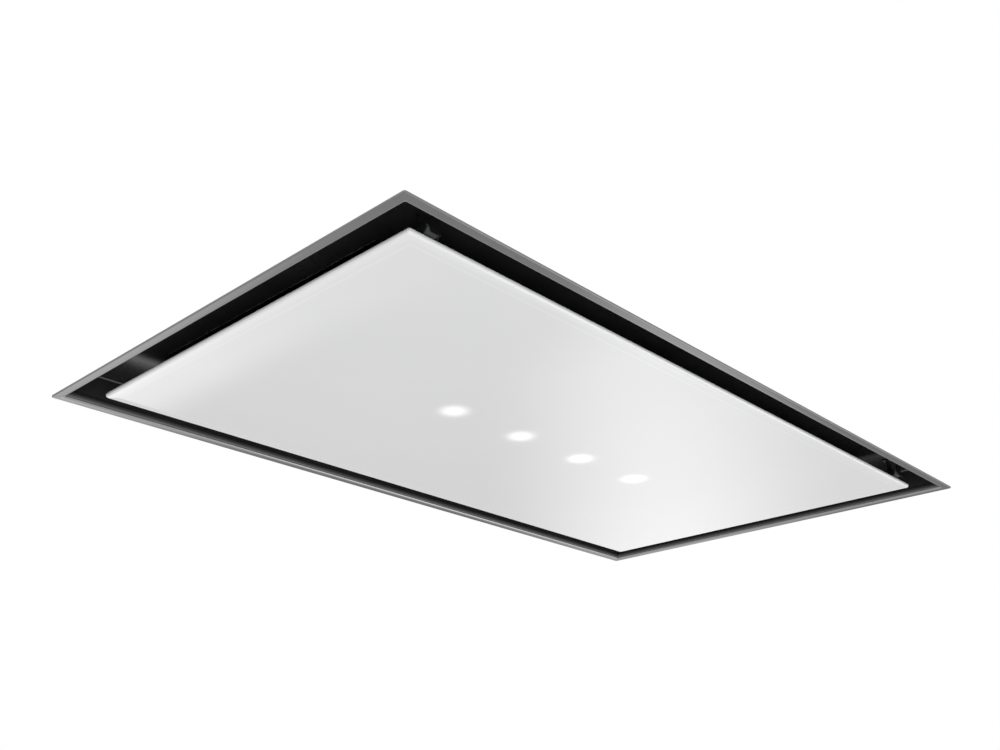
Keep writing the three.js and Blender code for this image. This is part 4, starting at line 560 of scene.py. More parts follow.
@dataclass(frozen=True)
class PrintedGlass(Finish):
    """Float glass printed white on its back, with round windows where the lamps glow through."""

    lamps: tuple[tuple[float, float], ...]
    half_length: float
    half_width: float
    border: float = 0.0115
    rim_edge: float = 0.001
    facet_highlight_outer: float = 0.0016
    facet_highlight_inner: float = 0.003
    core: float = 0.023
    core_glow: float = 0.4
    halo: float = 0.03
    halo_glow: float = 0.045
    print_dark: tuple[float, float, float] = (0.765, 0.768, 0.768)
    print_light: tuple[float, float, float] = (0.785, 0.787, 0.786)
    border_highlight_white: tuple[float, float, float] = (0.86, 0.872, 0.868)
    facet_highlight_white: tuple[float, float, float] = (0.93, 0.935, 0.935)
    lamp_white: tuple[float, float, float] = (1.0, 0.995, 0.985)
    ripple_depth: float = 0.0002

    def build(self) -> bpy.types.Material:
        """White print, painted highlights on the border and its inner edge, and a soft glow at each
        lamp.

        Returns:
            The material.
        """
        g = Graph("printed_white_glass")
        x, y, _ = g.axes(g.place)
        glow = self.glow(g, x, y)
        inset_x = g.math("SUBTRACT", self.half_length, g.math("ABSOLUTE", x))
        inset_y = g.math("SUBTRACT", self.half_width, g.math("ABSOLUTE", y))
        inset = g.math("MINIMUM", inset_x, inset_y)
        # Painted highlight: the border is made paler towards the pane's edge, where the facet
        # catches the light.
        rim = g.span(inset, self.rim_edge, self.border, 1.0, 0.0, "SMOOTHSTEP")
        # Painted highlight: a bright line along the facet's inner edge, where it catches the light.
        facet_highlight_from, facet_highlight_to = self.border - self.facet_highlight_outer, self.border + self.facet_highlight_inner
        facet_highlight = g.math(
            "MULTIPLY",
            g.span(inset, facet_highlight_from, self.border, 0.0, 1.0, "SMOOTHSTEP"),
            g.span(inset, self.border, facet_highlight_to, 1.0, 0.0, "SMOOTHSTEP"),
        )
        print_tone = g.noise(5.0, 3, 0.5)
        white = g.ramp(print_tone, [(0.3, self.print_dark), (0.7, self.print_light)])
        edged = g.mix(g.math("MULTIPLY", rim, 0.5), white, self.border_highlight_white)
        body = g.mix(g.math("MULTIPLY", facet_highlight, 0.25), edged, self.facet_highlight_white)
        smear = g.noise(16.0, 4, 0.6)
        return g.finish(
            Base_Color=body,
            Roughness=g.span(smear, 0.3, 0.8, 0.035, 0.085),
            IOR=1.52,
            Emission_Color=self.lamp_white,
            Emission_Strength=glow,
            Normal=g.bump(g.noise(3.0, 2, 0.5), self.ripple_depth, 0.08),
        )

    def glow(self, g: Graph, x: Source, y: Source) -> bpy.types.NodeSocket:
        """The light that comes through the print, from a bright core out to a thin halo.

        Args:
            g: The glass's graph.
            x: The place along the pane.
            y: The place across the pane.

        Returns:
            The glow's strength.
        """
        total: Source = 0.0
        for lamp_x, lamp_y in self.lamps:
            dx = g.math("SUBTRACT", x, lamp_x)
            dy = g.math("SUBTRACT", y, lamp_y)
            away = g.vector("LENGTH", g.combine(dx, dy, 0.0))
            distance = away.node.outputs["Value"]
            bright = g.span(distance, 0.0, self.core, self.core_glow, 0.0, "SMOOTHERSTEP")
            faint = g.span(distance, 0.0, self.halo, self.halo_glow, 0.0, "SMOOTHSTEP")
            total = g.math("ADD", total, g.math("ADD", bright, faint))
        return total


@dataclass(frozen=True)
class MouldedPlastic(Finish):
    """Injection-moulded plastic with an eroded grain and slight flow marks."""

    name: str
    colour: tuple[float, float, float] = (0.02, 0.0205, 0.022)
    roughness: float = 0.48
    grain: float = 1500.0
    grain_depth: float = 0.00006
    flow_scale: float = 24.0

    def build(self) -> bpy.types.Material:
        """A fine grain over a cloudy tone.

        Returns:
            The material.
        """
        g = Graph(self.name)
        grain = g.noise(self.grain, 3, 0.6)
        flow = g.noise(self.flow_scale, 4, 0.55)
        dark, light = toned(self.colour, 0.8), toned(self.colour, 1.22)
        return g.finish(
            Base_Color=g.ramp(flow, [(0.3, dark), (0.72, light)]),
            Roughness=g.span(flow, 0.3, 0.75, self.roughness * 0.85, self.roughness * 1.15),
            Normal=g.bump(grain, self.grain_depth, 0.4),
        )


@dataclass(frozen=True)
class Foam(Finish):
    """Closed-cell foam, cut so that its cells show."""

    level: float = 0.022
    large_pores: float = 900.0
    small_pores: float = 2100.0
    pore_depth: float = 0.0002

    def build(self) -> bpy.types.Material:
        """Round cells of two sizes.

        Returns:
            The material.
        """
        g = Graph("foam_strip")
        large = g.cells(self.large_pores).outputs["Distance"]
        small = g.cells(self.small_pores).outputs["Distance"]
        pore = g.total((large, 0.7), (small, 0.3))
        return g.finish(
            Base_Color=g.ramp(pore, [(0.1, grey(self.level * 0.4)), (0.6, grey(self.level * 1.5))]),
            Roughness=0.92,
            Normal=g.bump(pore, self.pore_depth, 0.6),
        )


@dataclass(frozen=True)
class Sheath(Finish):
    """The matt rubber or plastic skin of a lead or a grommet."""

    name: str
    colour: tuple[float, float, float] = (0.2, 0.205, 0.21)
    roughness: float = 0.6
    bloom_scale: float = 55.0
    skin_scale: float = 700.0
    skin_depth: float = 0.00008

    def build(self) -> bpy.types.Material:
        """A drawn skin with a dusty bloom.

        Returns:
            The material.
        """
        g = Graph(self.name)
        bloom = g.noise(self.bloom_scale, 4, 0.6)
        skin = g.noise(self.skin_scale, 3, 0.6)
        dark, light = toned(self.colour, 0.78), toned(self.colour, 1.2)
        matt = min(1.0, self.roughness * 1.2)
        return g.finish(
            Base_Color=g.ramp(bloom, [(0.3, dark), (0.7, light)]),
            Roughness=g.span(bloom, 0.3, 0.7, self.roughness * 0.9, matt),
            Normal=g.bump(skin, self.skin_depth, 0.4),
        )


@dataclass(frozen=True)
class SolderMask(Finish):
    """A circuit board: green mask over copper tracks, with tinned pads."""

    track_scale: float = 190.0
    pad_scale: float = 420.0
    mask_dark: tuple[float, float, float] = (0.006, 0.07, 0.028)
    mask_light: tuple[float, float, float] = (0.012, 0.13, 0.05)
    tin: tuple[float, float, float] = (0.62, 0.6, 0.54)
    mask_depth: float = 0.00004

    def build(self) -> bpy.types.Material:
        """Tracks and pads from a fine square cell pattern.

        Returns:
            The material.
        """
        g = Graph("solder_mask_board")
        tracks = g.add(
            "TexVoronoi", {"Vector": g.place, "Scale": self.track_scale}, feature="F1",
            distance="CHEBYCHEV",
        )
        tone = g.axes(tracks.outputs["Color"])[0]
        lane = g.span(tracks.outputs["Distance"], 0.3, 0.34, 0.0, 1.0)
        mask = g.mix(g.math("MULTIPLY", lane, 0.6), self.mask_dark, self.mask_light)
        pads = g.span(g.cells(self.pad_scale).outputs["Distance"], 0.16, 0.2, 1.0, 0.0)
        chosen = g.math("MULTIPLY", pads, g.math("GREATER_THAN", tone, 0.72))
        return g.finish(
            Base_Color=g.mix(chosen, mask, self.tin),
            Metallic=chosen,
            Roughness=g.span(lane, 0.0, 1.0, 0.3, 0.4),
            Normal=g.bump(lane, self.mask_depth, 0.5),
        )


@dataclass(frozen=True)
class DiffusingLens(Finish):
    """A frosted lens, lit from behind."""

    frost_scale: float = 900.0
    frost_depth: float = 0.00005

    def build(self) -> bpy.types.Material:
        """Frosted plastic that glows a little.

        Returns:
            The material.
        """
        g = Graph("frosted_lens")
        frost = g.noise(self.frost_scale, 3, 0.6)
        return g.finish(
            Base_Color=g.ramp(frost, [(0.3, grey(0.72)), (0.7, grey(0.82))]),
            Roughness=0.4,
            Emission_Color=(1.0, 0.99, 0.97),
            Emission_Strength=g.span(frost, 0.2, 0.8, 0.9, 1.1),
            Normal=g.bump(frost, self.frost_depth, 0.5),
        )


GALVANISED = Galvanised(level=0.44)
BOX_SHEET = Galvanised("galvanised_box_sheet", level=0.48, spangle=70.0)
GLOSS_BLACK = GlossPaint()
PANEL_BLACK = GlossPaint("black_panel_coat", level=0.014, roughness=0.3, peel=0.00006)
ZINC = PlainMetal("bright_zinc_plate", level=0.5, roughness=0.28, warmth=0.012)
STEEL_SCREW = PlainMetal("steel_screw_head", level=0.42, roughness=0.25)
FILTER_STEEL = PlainMetal(
    "satin_filter_rim", level=0.36, roughness=0.32, stretch=(0.4, 1.0, 1.0)
)
MESH_METAL = PlainMetal("drawn_aluminium_mesh", level=0.52, roughness=0.38)
CAST_METAL = PlainMetal("cast_aluminium", level=0.44, roughness=0.46)
BLACK_PLASTIC = MouldedPlastic("black_moulding")
CATCH_BLACK = MouldedPlastic(
    "black_catch_moulding", colour=(0.008, 0.0082, 0.0085), roughness=0.5
)
GREY_PLASTIC = MouldedPlastic("grey_moulding", colour=(0.1, 0.108, 0.112), roughness=0.45)
WHEEL_PLASTIC = MouldedPlastic(
    "grey_wheel_moulding", colour=(0.075, 0.082, 0.088), roughness=0.42
)
GREEN_PLASTIC = MouldedPlastic("green_moulding", colour=(0.02, 0.16, 0.055), roughness=0.4)
FOAM = Foam()
LEAD_SHEATH = Sheath("grey_lead_sheath")
SEALANT = Sheath("grey_sealant", colour=(0.09, 0.09, 0.09), roughness=0.4)
RUBBER = Sheath("black_rubber", colour=(0.012, 0.012, 0.0125), roughness=0.72)
BOARD = SolderMask()
LENS = DiffusingLens()


def facing(centre: Sequence[float], axis: Sequence[float]) -> Matrix:
    """The place of a pattern whose own Z axis is turned to a direction."""
    turn = Vector(axis).to_track_quat("Z", "Y").to_matrix().to_4x4()
    return Matrix.Translation(Vector(centre)) @ turn


def stamp(bm: bmesh.types.BMesh, pattern: bpy.types.Mesh, place: Matrix) -> None:
    """Adds one copy of a pattern to a bmesh.

    Args:
        bm: The bmesh that gets it.
        pattern: The mesh that is copied.
        place: Where the copy goes.
    """
    before = len(bm.verts)
    bm.from_mesh(pattern)
    bm.verts.ensure_lookup_table()
    bmesh.ops.transform(bm, matrix=place, verts=bm.verts[before:])


def shade_evenly(thing: bpy.types.Object) -> None:
    """Weighs a thing's normals by its faces' sizes, and keeps its sharp edges."""
    shade = thing.modifiers.new("even_shading", "WEIGHTED_NORMAL")
    shade.keep_sharp = True


def middle_of(part: Part) -> tuple[float, ...]:
    """The middle of a vertex, an edge or a face, rounded, for ordering such parts.

    Args:
        part: The vertex, edge or face.

    Returns:
        Its rounded middle.
    """
    corners = [part] if isinstance(part, bmesh.types.BMVert) else list(part.verts)
    total = sum((corner.co for corner in corners), Vector())
    return tuple(round(value / len(corners), PLACE_DIGITS) for value in total)


def merge_corners(bm: bmesh.types.BMesh) -> None:
    """Merges points that coincide and orders the parts by their places.

    Args:
        bm: The bmesh, which the merge alone would leave in another order at each run.
    """
    bmesh.ops.remove_doubles(bm, verts=bm.verts, dist=SAME_PLACE)
    for parts in (bm.verts, bm.edges, bm.faces):
        for index, part in enumerate(sorted(parts, key=middle_of)):
            part.index = index
        parts.sort()


def rectangle(bm: bmesh.types.BMesh, x: float, y: float, z: float) -> bmesh.types.BMFace:
    """Adds a level rectangle round the Z axis.

    Args:
        bm: The bmesh that gets it.
        x: Half its length.
        y: Half its width.
        z: Its height.

    Returns:
        Its face.
    """
    corners = [bm.verts.new(p) for p in ((-x, -y, z), (-x, y, z), (x, y, z), (x, -y, z))]
    face = bm.faces.new(corners)
    face.normal_update()
    return face


def ring_of(bm: bmesh.types.BMesh, outline: Sequence[tuple[float, float]], steps: int) -> None:
    """Spins an outline of (radius, height) points once round Z, open at its foot.

    Args:
        bm: The bmesh that gets it.
        outline: The section, from its outer foot to its middle.
        steps: How many flats make the round.
    """
    points = [bm.verts.new((radius, 0.0, height)) for radius, height in outline]
    edges = [bm.edges.new(pair) for pair in zip(points, points[1:])]
    bmesh.ops.spin(
        bm, geom=points + edges, cent=(0, 0, 0), axis=(0, 0, 1), dvec=(0, 0, 0),
        angle=math.tau, steps=steps, use_merge=True, use_duplicate=False,
    )
    merge_corners(bm)


def rounded_loop(
    bm: bmesh.types.BMesh, half: tuple[float, float], radius: float, z: float, steps: int = 8
) -> None:
    """Adds a rectangle's outline with rounded corners, as edges alone.

    Args:
        bm: The bmesh that gets it.
        half: Half its length and half its width.
        radius: The corners' radius.
        z: Its height.
        steps: How many edges make a corner.
    """
    corners = list(rectangle(bm, *half, z).verts)
    bmesh.ops.bevel(
        bm, geom=corners, offset=radius, offset_type="OFFSET", segments=steps,
        profile=0.5, affect="VERTICES", material=-1,
    )
    bmesh.ops.delete(bm, geom=list(bm.faces), context="FACES_ONLY")


def mitred_frame(
    bm: bmesh.types.BMesh, half: tuple[float, float], section: Sequence[tuple[float, float]]
) -> None:
    """Runs a closed section round a rectangle, mitred at its corners.

    Args:
        bm: The bmesh that gets it.
        half: The rectangle's half length and half width.
        section: The section's corners, each as its distance inside the rectangle and its height.
    """
    inset, z = section[0]
    face = rectangle(bm, half[0] - inset, half[1] - inset, z)
    ring = list(face.edges)
    bmesh.ops.delete(bm, geom=[face], context="FACES_ONLY")
    for next_inset, next_z in (*section[1:], section[0]):
        made = bmesh.ops.extrude_edge_only(bm, edges=ring)["geom"]
        corners = {part for part in made if isinstance(part, bmesh.types.BMVert)}
        ring = [
            part for part in made
            if isinstance(part, bmesh.types.BMEdge) and set(part.verts) <= corners
        ]
        stretch = (
            (half[0] - next_inset) / (half[0] - inset),
            (half[1] - next_inset) / (half[1] - inset),
            1.0,
        )
        bmesh.ops.scale(bm, verts=list(corners), vec=stretch)
        bmesh.ops.translate(bm, verts=list(corners), vec=(0, 0, next_z - z))
        inset, z = next_inset, next_z
    merge_corners(bm)


def bridge_stack(bm: bmesh.types.BMesh, levels: Sequence[float]) -> None:
    """Joins outlines that lie at given heights into one closed skin.

    Args:
        bm: The bmesh with the outlines.
        levels: The outlines' heights, in order.
    """
    rings = [
        [edge for edge in bm.edges if all(abs(v.co.z - z) < SAME_PLACE for v in edge.verts)]
        for z in levels
    ]
    for one, two in zip(rings, rings[1:]):
        bmesh.ops.bridge_loops(bm, edges=[*one, *two])
    for ring in (rings[0], rings[-1]):
        bmesh.ops.edgeloop_fill(bm, edges=ring)
    bmesh.ops.recalc_face_normals(bm, faces=bm.faces)


@dataclass(frozen=True)
class Fastener:
    """The head of a screw or rivet, standing on the face that it holds."""

    radius: float
    height: float
    drive: Drive = Drive.STAR
    washer: float = 0.0
    steps: int = 24

    def pattern(self) -> bpy.types.Mesh:
        """The head as a mesh, standing on Z zero.

        Returns:
            The head's mesh.
        """
        bm = bmesh.new()
        r, h = self.radius, self.height
        top = RIVET_TOP if self.drive is Drive.NONE else DRIVE_TOP
        outline = [(across * r, up * h) for across, up in (*CROWN, *top)]
        if self.washer:
            lift = WASHER_LIFT * h
            outline = [
                (self.washer, outline[0][1]), (self.washer, lift * 0.7),
                (self.washer * 0.97, lift), (r, lift), *outline[1:],
            ]
        ring_of(bm, outline, self.steps)
        self.cut_drive(bm)
        mesh = bpy.data.meshes.new("fastener_pattern")
        bmesh.ops.recalc_face_normals(bm, faces=bm.faces)
        bm.to_mesh(mesh)
        bm.free()
        return mesh

    def cut_drive(self, bm: bmesh.types.BMesh) -> None:
        """Draws the recess's wall in to the lobes of a star or the flats of a hexagon.

        Args:
            bm: The head, with a round recess.
        """
        if self.drive is Drive.NONE:
            return
        flat = math.pi / 3
        for vert in bm.verts:
            radius = math.hypot(vert.co.x, vert.co.y)
            if not SAME_PLACE < radius < RECESS_REACH * self.radius:
                continue
            angle = math.atan2(vert.co.y, vert.co.x)
            if self.drive is Drive.STAR:
                share = STAR_MEAN + STAR_DEPTH * math.cos(STAR_LOBES * angle)
            else:
                share = math.cos(flat / 2) / math.cos(angle % flat - flat / 2)
            vert.co.x *= share
            vert.co.y *= share


@dataclass
class Assembly(ABC):
    """A group of pieces that one maker's step puts together."""

    nodes: dict[str, bpy.types.Object]

    @abstractmethod
    def build(self) -> None:
        """Builds the group's pieces and dresses its solids."""

    def dress(self, node: str, finish: Finish, ease: float = 0.0) -> None:
        """Gives a solid its finish, smooth round faces and, where asked, eased edges.

        Args:
            node: The solid's name.
            finish: Its finish.
            ease: Width of the eased edge; zero leaves the edges sharp.
        """
        solid = self.nodes[node]
        solid.data.materials.clear()
        solid.data.materials.append(finish.material())
        weld = solid.modifiers.new("joined_corners", "WELD")
        weld.merge_threshold = SOLID_WELD
        solid.data.polygons.foreach_set("use_smooth", [True] * len(solid.data.polygons))
        if ease:
            bevel = solid.modifiers.new("eased_edges", "BEVEL")
            bevel.width = ease
            bevel.segments = 2
            bevel.limit_method = "ANGLE"
            bevel.angle_limit = math.radians(SHARP_ANGLE)
            bevel.use_clamp_overlap = True
        else:
            split = solid.modifiers.new("crisp_edges", "EDGE_SPLIT")
            split.split_angle = math.radians(SHARP_ANGLE)
        shade_evenly(solid)
        LOG.info("dressed %s in %s", node, finish.material().name)

    def add(
        self, name: str, bm: bmesh.types.BMesh, body: Body, slot: Slot, finish: Finish,
        crisp: float = SHARP_ANGLE,
    ) -> bpy.types.Object:
        """Turns a bmesh into a piece that rides on a body.

        Args:
            name: The piece's name.
            bm: Its shape, in place; freed here.
            body: The body that it rides on.
            slot: Not used.
            finish: The surface finish.
            crisp: Angle in degrees from which an edge stays sharp.

        Returns:
            The finished piece.
        """
        bmesh.ops.recalc_face_normals(bm, faces=bm.faces)
        mesh = bpy.data.meshes.new(name)
        bm.to_mesh(mesh)
        bm.free()
        mesh.shade_smooth()
        mesh.set_sharp_from_angle(angle=math.radians(crisp))
        mesh.materials.append(finish.material())
        piece = bpy.data.objects.new(name, mesh)
        bpy.context.scene.collection.objects.link(piece)
        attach(piece, body.value)
        LOG.info("made %s with %d faces", name, len(mesh.polygons))
        return piece

    def fasteners(
        self, name: str, head: Fastener, places: Iterable[Place], body: Body,
        slot: Slot = Slot.ZINC, finish: Finish = STEEL_SCREW,
    ) -> bpy.types.Object:
        """A set of equal heads, each at a point and facing a direction.

        Args:
            name: The piece's name.
            head: The kind of head.
            places: Each head's point and direction.
            body: The body that they ride on.
            slot: The finish name, handed on to add.
            finish: Their surface finish.

        Returns:
            The finished piece.
        """
        bm = bmesh.new()
        pattern = head.pattern()
        for index, (centre, axis) in enumerate(places):
            turn = Matrix.Rotation(HEAD_TURN * index, 4, "Z")
            stamp(bm, pattern, facing(centre, axis) @ turn)
        bpy.data.meshes.remove(pattern)
        return self.add(name, bm, body, slot, finish)


def spread(low: float, high: float, count: int) -> list[float]:
    """Evenly spaced values from one end to the other."""
    return [low + (high - low) * i / (count - 1) for i in range(count)]


def rim_places(
    low: Vector, high: Vector, inset: float, z: float, xs: Iterable[float], ys: Iterable[float]
) -> list[Place]:
    """Places on a level rim: pairs on its front and back, then pairs on its ends.

    Args:
        low: The low corner of the rim's box.
        high: The high corner of its box.
        inset: How far inside the box they lie.
        z: Their height.
        xs: Where they stand along the front and back.
        ys: Where they stand along the ends.

    Returns:
        Each place's point and its direction, upwards.
    """
    places: list[Place] = []
    for x in xs:
        places += [((x, low.y + inset, z), UP), ((x, high.y - inset, z), UP)]
    for y in ys:
        places += [((low.x + inset, y, z), UP), ((high.x - inset, y, z), UP)]
    return places


def wall_places(
    low: Vector, high: Vector, z: float, xs: Iterable[float], ys: Iterable[float]
) -> list[Place]:
    """Places on a box's walls: pairs on its front and back, then pairs on its ends.

    Args:
        low: The box's low corner.
        high: The box's high corner.
        z: Their height.
        xs: Where they stand along the front and back.
        ys: Where they stand along the ends.

    Returns:
        Each place's point and its direction, outwards.
    """
    places: list[Place] = []
    for x in xs:
        places += [((x, low.y, z), (0, -1, 0)), ((x, high.y, z), (0, 1, 0))]
    for y in ys:
        places += [((low.x, y, z), (-1, 0, 0)), ((high.x, y, z), (1, 0, 0))]
    return places


@dataclass
class Trim(Assembly):
    """The flange that shows below the ceiling, and its foam strip."""

    flange_width: float = 0.0091
    lip_thickness: float = 0.0004
    lip_foot: float = 0.0023
    lip_top: float = 0.0086

    def build(self) -> None:
        """Dresses the flange and the strip, and adds the flange's upturned lip."""
        _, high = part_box("trim_frame")
        self.dress("trim_frame", BrushedFlange(high.x, high.y), ease=0.00012)
        self.dress("ceiling_seal", FOAM)
        bm = bmesh.new()
        foot, top = self.lip_foot, self.lip_top
        half = (high.x - self.flange_width, high.y - self.flange_width)
        mitred_frame(
            bm, half, ((0, foot), (0, top), (self.lip_thickness, top), (self.lip_thickness, foot))
        )
        self.add("trim_lip", bm, Body.CASING, Slot.TRIM, ShadedLip(foot, top))


@dataclass
class Casing(Assembly):
    """The galvanised hood body over the ceiling, with its hangers and fixings."""

    shoulder: float = 0.0411
    weld: Fastener = Fastener(radius=0.0027, height=0.00022, drive=Drive.NONE, steps=SMALL_STEPS)
    weld_pitch: float = 0.055
    weld_inset: float = 0.012
    end_weld_reach: float = 0.19
    end_welds: int = 8
    rivet: Fastener = Fastener(radius=0.0032, height=0.0013, drive=Drive.NONE)
    rivet_height: float = 0.024
    rivet_reach: tuple[float, float] = (0.36, 0.17)
    rivet_counts: tuple[int, int] = (7, 4)
    screw: Fastener = Fastener(radius=0.0042, height=0.0028, drive=Drive.HEXAGON, washer=0.0062)
    screw_offset: float = 0.012
    screw_rise: float = 0.014
    hanger_sheet: float = 0.0025
    joint_gap: float = 0.0001

    def build(self) -> None:
        """Dresses the sheet metal and adds its welds, rivets and screws."""
        self.dress("casing_shell", GALVANISED, ease=0.0004)
        for corner in HANGER_CORNERS:
            self.dress(f"hanger_{corner}", ZINC, ease=0.0003)
        self.welds()
        self.rivets()
        self.hanger_screws()

    def welds(self) -> None:
        """Rows of spot welds along the casing's folded shoulder."""
        low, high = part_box("casing_shell")
        wall_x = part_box("hanger_front_right")[0].x - self.joint_gap
        bm = bmesh.new()
        pattern = self.weld.pattern()
        for y in (low.y + self.weld_inset, high.y - self.weld_inset):
            for x in spread(-wall_x, wall_x, int(2 * wall_x / self.weld_pitch)):
                stamp(bm, pattern, facing((x, y, self.shoulder), UP))
        for x in (low.x + self.weld_inset, high.x - self.weld_inset):
            for y in spread(-self.end_weld_reach, self.end_weld_reach, self.end_welds):
                stamp(bm, pattern, facing((x, y, self.shoulder), UP))
        bpy.data.meshes.remove(pattern)
        self.add("casing_spot_welds", bm, Body.CASING, Slot.GALVANISED, GALVANISED)

    def rivets(self) -> None:
        """Blind rivets through the skirt into the tray's wall."""
        low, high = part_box("casing_shell")
        reach_x, reach_y = self.rivet_reach
        count_x, count_y = self.rivet_counts
        places = wall_places(
            low, high, self.rivet_height,
            spread(-reach_x, reach_x, count_x), spread(-reach_y, reach_y, count_y),
        )
        self.fasteners("casing_rivets", self.rivet, places, Body.CASING)

    def hanger_screws(self) -> None:
        """Two flanged screws through each hanger's upright leg."""
        places = []
        for corner in HANGER_CORNERS:
            low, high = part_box(f"hanger_{corner}")
            out = 1.0 if low.x > 0 else -1.0
            face = (low.x if out > 0 else high.x) + out * self.hanger_sheet
            middle = (low.y + high.y) / 2
            for y in (middle - self.screw_offset, middle + self.screw_offset):
                places.append(((face, y, low.z + self.screw_rise), (out, 0, 0)))
        self.fasteners("hanger_screws", self.screw, places, Body.CASING)


@dataclass
class Recess(Assembly):
    """The gloss black tray round the panel, with its hinge brackets and catch clips."""

    wall: tuple[float, float] = (0.4409, 0.2409)
    ceiling: float = 0.032
    bead: float = 0.0011
    screw: Fastener = Fastener(radius=0.0036, height=0.0022)
    screw_offset: float = 0.006
    screw_inset: float = 0.008
    bracket_sheet: float = 0.0016

    def build(self) -> None:
        """Dresses the tray and what is fixed to it, and runs a sealant bead along its fold."""
        self.dress("recess_tray", GLOSS_BLACK, ease=0.0003)
        bm = bmesh.new()
        mitred_frame(
            bm, self.wall,
            ((0, self.ceiling), (0, self.ceiling - self.bead), (self.bead, self.ceiling)),
        )
        self.add("recess_sealant_bead", bm, Body.CASING, Slot.GREY_PLASTIC, SEALANT)
        places = []
        for side in SIDES:
            self.dress(f"hinge_bracket_{side}", ZINC, ease=0.00025)
            self.dress(f"hinge_pin_{side}", ZINC, ease=0.0002)
            self.dress(f"catch_clip_{side}", CATCH_BLACK, ease=0.0001)
            low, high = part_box(f"hinge_bracket_{side}")
            middle = (low.x + high.x) / 2
            for x in (middle - self.screw_offset, middle + self.screw_offset):
                y = low.y + self.screw_inset
                places.append(((x, y, high.z - self.bracket_sheet), DOWN))
        self.fasteners("hinge_bracket_screws", self.screw, places, Body.CASING)


@dataclass
class Filters(Assembly):
    """The two grease filters: rim, pleated core, expanded mesh and sprung latch."""

    strand: float = 0.0011
    diamond_long: float = 0.0135
    diamond_short: float = 0.0072
    spare_diamonds: int = 4
    flattening: float = 0.5
    lip: float = 0.0085
    core_edge: float = 0.004
    sag: float = 0.0004

    def build(self) -> None:
        """Dresses both filters and lays a mesh under each core."""
        for side in SIDES:
            self.dress(f"filter_frame_{side}", FILTER_STEEL, ease=0.0003)
            self.dress(f"filter_core_{side}", MESH_METAL)
            self.dress(f"filter_latch_{side}", BLACK_PLASTIC, ease=0.00025)
            self.mesh(side)

    def mesh(self, side: str) -> None:
        """The expanded sheet that shows between the rim's lips.

        Args:
            side: Which filter it belongs to.
        """
        frame_low, frame_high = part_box(f"filter_frame_{side}")
        core_low, core_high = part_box(f"filter_core_{side}")
        low = Vector((frame_low.x + self.lip, core_low.y + self.core_edge, 0))
        high = Vector((frame_high.x - self.lip, core_high.y - self.core_edge, 0))
        size = high - low
        bm = bmesh.new()
        across = int(size.x / self.diamond_long + size.y / self.diamond_short)
        across += self.spare_diamonds
        bmesh.ops.create_grid(bm, x_segments=across, y_segments=across, size=0.5)
        bmesh.ops.rotate(bm, verts=bm.verts, matrix=Matrix.Rotation(math.pi / 4, 3, "Z"))
        stretch = across / math.sqrt(2)
        bmesh.ops.scale(
            bm, verts=bm.verts,
            vec=(stretch * self.diamond_long, stretch * self.diamond_short, 1),
        )
        middle = (low + high) / 2
        bmesh.ops.translate(bm, verts=bm.verts, vec=(middle.x, middle.y, 0))
        for point, out in (
            (low, (-1, 0, 0)), (low, (0, -1, 0)), (high, (1, 0, 0)), (high, (0, 1, 0))
        ):
            geometry = [*bm.verts, *bm.edges, *bm.faces]
            bmesh.ops.bisect_plane(
                bm, geom=geometry, plane_co=point, plane_no=out, clear_outer=True
            )
        bmesh.ops.wireframe(
            bm, faces=bm.faces, thickness=self.strand, offset=0.0, use_replace=True,
            use_boundary=True, use_even_offset=True,
        )
        bmesh.ops.scale(bm, verts=bm.verts, vec=(1, 1, self.flattening))
        bmesh.ops.translate(bm, verts=bm.verts, vec=(0, 0, core_low.z - self.sag))
        self.add(f"filter_mesh_{side}", bm, Body.CASING, Slot.ALUMINIUM, MESH_METAL)


